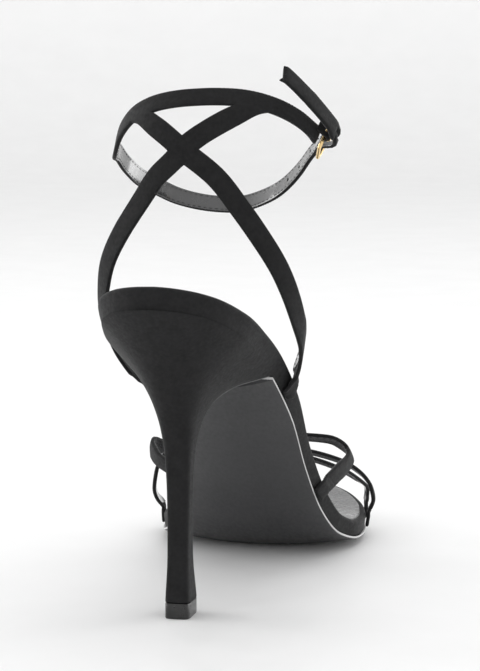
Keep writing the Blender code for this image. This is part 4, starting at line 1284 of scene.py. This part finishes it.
def cell_field(tree, scale):
    texture = tree.nodes.new("ShaderNodeTexVoronoi")
    texture.feature = "SMOOTH_F1"
    texture.inputs["Scale"].default_value = scale
    tree.links.new(own_place(tree), texture.inputs["Vector"])
    return texture.outputs["Distance"]


FIELDS = {"noise": noise_field, "cells": cell_field}


def spread_over(tree, factor, low, high, first=RAMP_FIRST, last=RAMP_LAST):
    """The factor's values between first and last, stretched to run from low to high."""
    stretch = tree.nodes.new("ShaderNodeMapRange")
    for socket, value in (("From Min", first), ("From Max", last), ("To Min", low), ("To Max", high)):
        stretch.inputs[socket].default_value = value
    tree.links.new(factor, stretch.inputs["Value"])
    return stretch.outputs["Result"]


def tinted(tree, factor, dark, light):
    ramp = tree.nodes.new("ShaderNodeValToRGB")
    for element, place, tone in zip(ramp.color_ramp.elements, (RAMP_FIRST, RAMP_LAST), (dark, light)):
        element.position = place
        element.color = (*tone, 1.0)
    tree.links.new(factor, ramp.inputs["Fac"])
    return ramp.outputs["Color"]


def plain_look(dark, light, roughness, scale, depth, metallic, coat):
    """A look whose mottle and gloss follow from its one grain."""
    low, high = (roughness * share for share in ROUGHNESS_SPAN)
    return {
        "dark": dark,
        "light": light,
        "mottle": scale / MOTTLE_SHARE,
        "uneven": (low, high, scale / UNEVEN_SHARE, MOTTLE_DETAIL, EVEN),
        "grains": (("noise", depth, scale, GRAIN_DETAIL, EVEN),),
        "sockets": {"Roughness": roughness, "Metallic": metallic, "Coat Weight": coat},
    }


def look_of(name):
    """A material from its look: mottled tones, uneven gloss, and bump from each of its grains."""
    look = LOOKS[name] if name in LOOKS else plain_look(*PLAIN_LOOKS[name])
    material = bpy.data.materials.new(name)
    material.use_nodes = True
    tree = material.node_tree
    shader = tree.nodes["Principled BSDF"]
    for socket, value in look["sockets"].items():
        shader.inputs[socket].default_value = value
    mottle = noise_field(tree, look["mottle"], MOTTLE_DETAIL, EVEN)
    tree.links.new(tinted(tree, mottle, look["dark"], look["light"]), shader.inputs["Base Color"])
    low, high, *noise_kind = look["uneven"]
    tree.links.new(spread_over(tree, noise_field(tree, *noise_kind), low, high), shader.inputs["Roughness"])
    normal = None
    for kind, depth, *grain in look["grains"]:
        bump = tree.nodes.new("ShaderNodeBump")
        bump.inputs["Distance"].default_value = depth
        tree.links.new(FIELDS[kind](tree, *grain), bump.inputs["Height"])
        if normal is not None:
            tree.links.new(normal, bump.inputs["Normal"])
        normal = bump.outputs["Normal"]
    tree.links.new(normal, shader.inputs["Normal"])
    return material


def backdrop():
    """A pale round floor that sweeps up into a low wall all round, far from the shoe, with painted light:
    the wall glows more up its height.
    """
    profile = [(FLOOR_RADIUS, 0.0)]
    for k in range(1, SWEEP_STEPS + 1):
        a = math.pi / 2 * k / SWEEP_STEPS
        profile.append((FLOOR_RADIUS + SWEEP * math.sin(a), SWEEP * (1 - math.cos(a))))
    profile.append((FLOOR_RADIUS + SWEEP, WALL_HEIGHT))
    bm = bmesh.new()
    rings = []
    for r, z in profile:
        ring = [Vector((r * math.cos(t), r * math.sin(t), z)) for t in turns(SWEEP_SIDES)]
        rings.append(verts_of(bm, ring))
    bm.faces.new(rings[0])
    for low, high in zip(rings, rings[1:]):
        band(bm, high, low)
    mesh = bpy.data.meshes.new("pale_floor")
    bm.to_mesh(mesh)
    bm.free()
    mesh.shade_smooth()
    pale = look_of("pale_floor")
    tree = pale.node_tree
    parts = tree.nodes.new("ShaderNodeSeparateXYZ")
    tree.links.new(own_place(tree), parts.inputs["Vector"])
    # Painted light: the wall glows more the higher it stands, though it is no lamp
    glow = spread_over(tree, parts.outputs["Z"], 0.0, WALL_GLOW, 0.0, GLOW_HEIGHT)
    shader = tree.nodes["Principled BSDF"]
    shader.inputs["Emission Color"].default_value = (1.0, 1.0, 1.0, 1.0)
    tree.links.new(glow, shader.inputs["Emission Strength"])
    mesh.materials.append(pale)
    floor = bpy.data.objects.new("pale_floor", mesh)
    bpy.context.scene.collection.objects.link(floor)


def soft_light(name, place, size, power):
    data = bpy.data.lights.new(name, "AREA")
    data.shape = "RECTANGLE"
    data.size, data.size_y = size
    data.energy = power
    light = bpy.data.objects.new(name, data)
    light.visible_camera = False
    light.location = place
    light.rotation_euler = (Vector(LIGHT_AIM) - Vector(place)).to_track_quat("-Z", "Y").to_euler()
    bpy.context.scene.collection.objects.link(light)


def studio():
    """An even white room with three soft lights."""
    world = bpy.data.worlds.new("pale_room")
    world.use_nodes = True
    background = world.node_tree.nodes["Background"]
    background.inputs["Color"].default_value = (1.0, 1.0, 1.0, 1.0)
    background.inputs["Strength"].default_value = ROOM_LIGHT
    bpy.context.scene.world = world
    bpy.context.scene.view_settings.view_transform = "Standard"
    for light in LIGHTS:
        soft_light(*light)


def camera():
    """The photograph's viewing angle, moved over so that the one shoe fills the frame."""
    data = bpy.data.cameras.new("photo_view")
    data.sensor_width = SENSOR
    data.lens = CAMERA_LENS
    view = bpy.data.objects.new("photo_view", data)
    view.location = CAMERA_PLACE
    view.rotation_euler = (math.radians(90.0 - CAMERA_PITCH), 0.0, math.radians(CAMERA_TURN))
    bpy.context.scene.collection.objects.link(view)
    bpy.context.scene.camera = view


cover_look = look_of("matte_black_cover")
lining_look = look_of("glossy_dark_lining")
thread_look = look_of("black_thread")
gold_look = look_of("polished_gold")

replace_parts(footbed_cover(cover_look), "footbed")
insole_sock(look_of("glossy_dark_insole"))
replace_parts(sole_cover(look_of("smooth_dark_sole")), "outsole")
# The sole's edge band: partly its own light tone, partly a painted highlight
sole_edge_band(look_of("sole_edge_tone_and_highlight"))
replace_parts(heel_cover(cover_look), "heel")
# Painted highlights along the heel's breast edges
heel_edge_highlights(look_of("heel_edge_painted_highlight"))
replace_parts(top_piece_block(look_of("hard_tip")), "heel_top_piece")
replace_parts(ankle_pieces(cover_look, lining_look, thread_look), "ankle_harness")
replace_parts(toe_pieces(cover_look, lining_look, thread_look), "toe_straps")
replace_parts(buckle_wire(gold_look), "buckle_frame")
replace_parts(buckle_pin(gold_look), "buckle_prong")
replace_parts(keeper_fold(cover_look), "buckle_keeper")
backdrop()
studio()
camera()
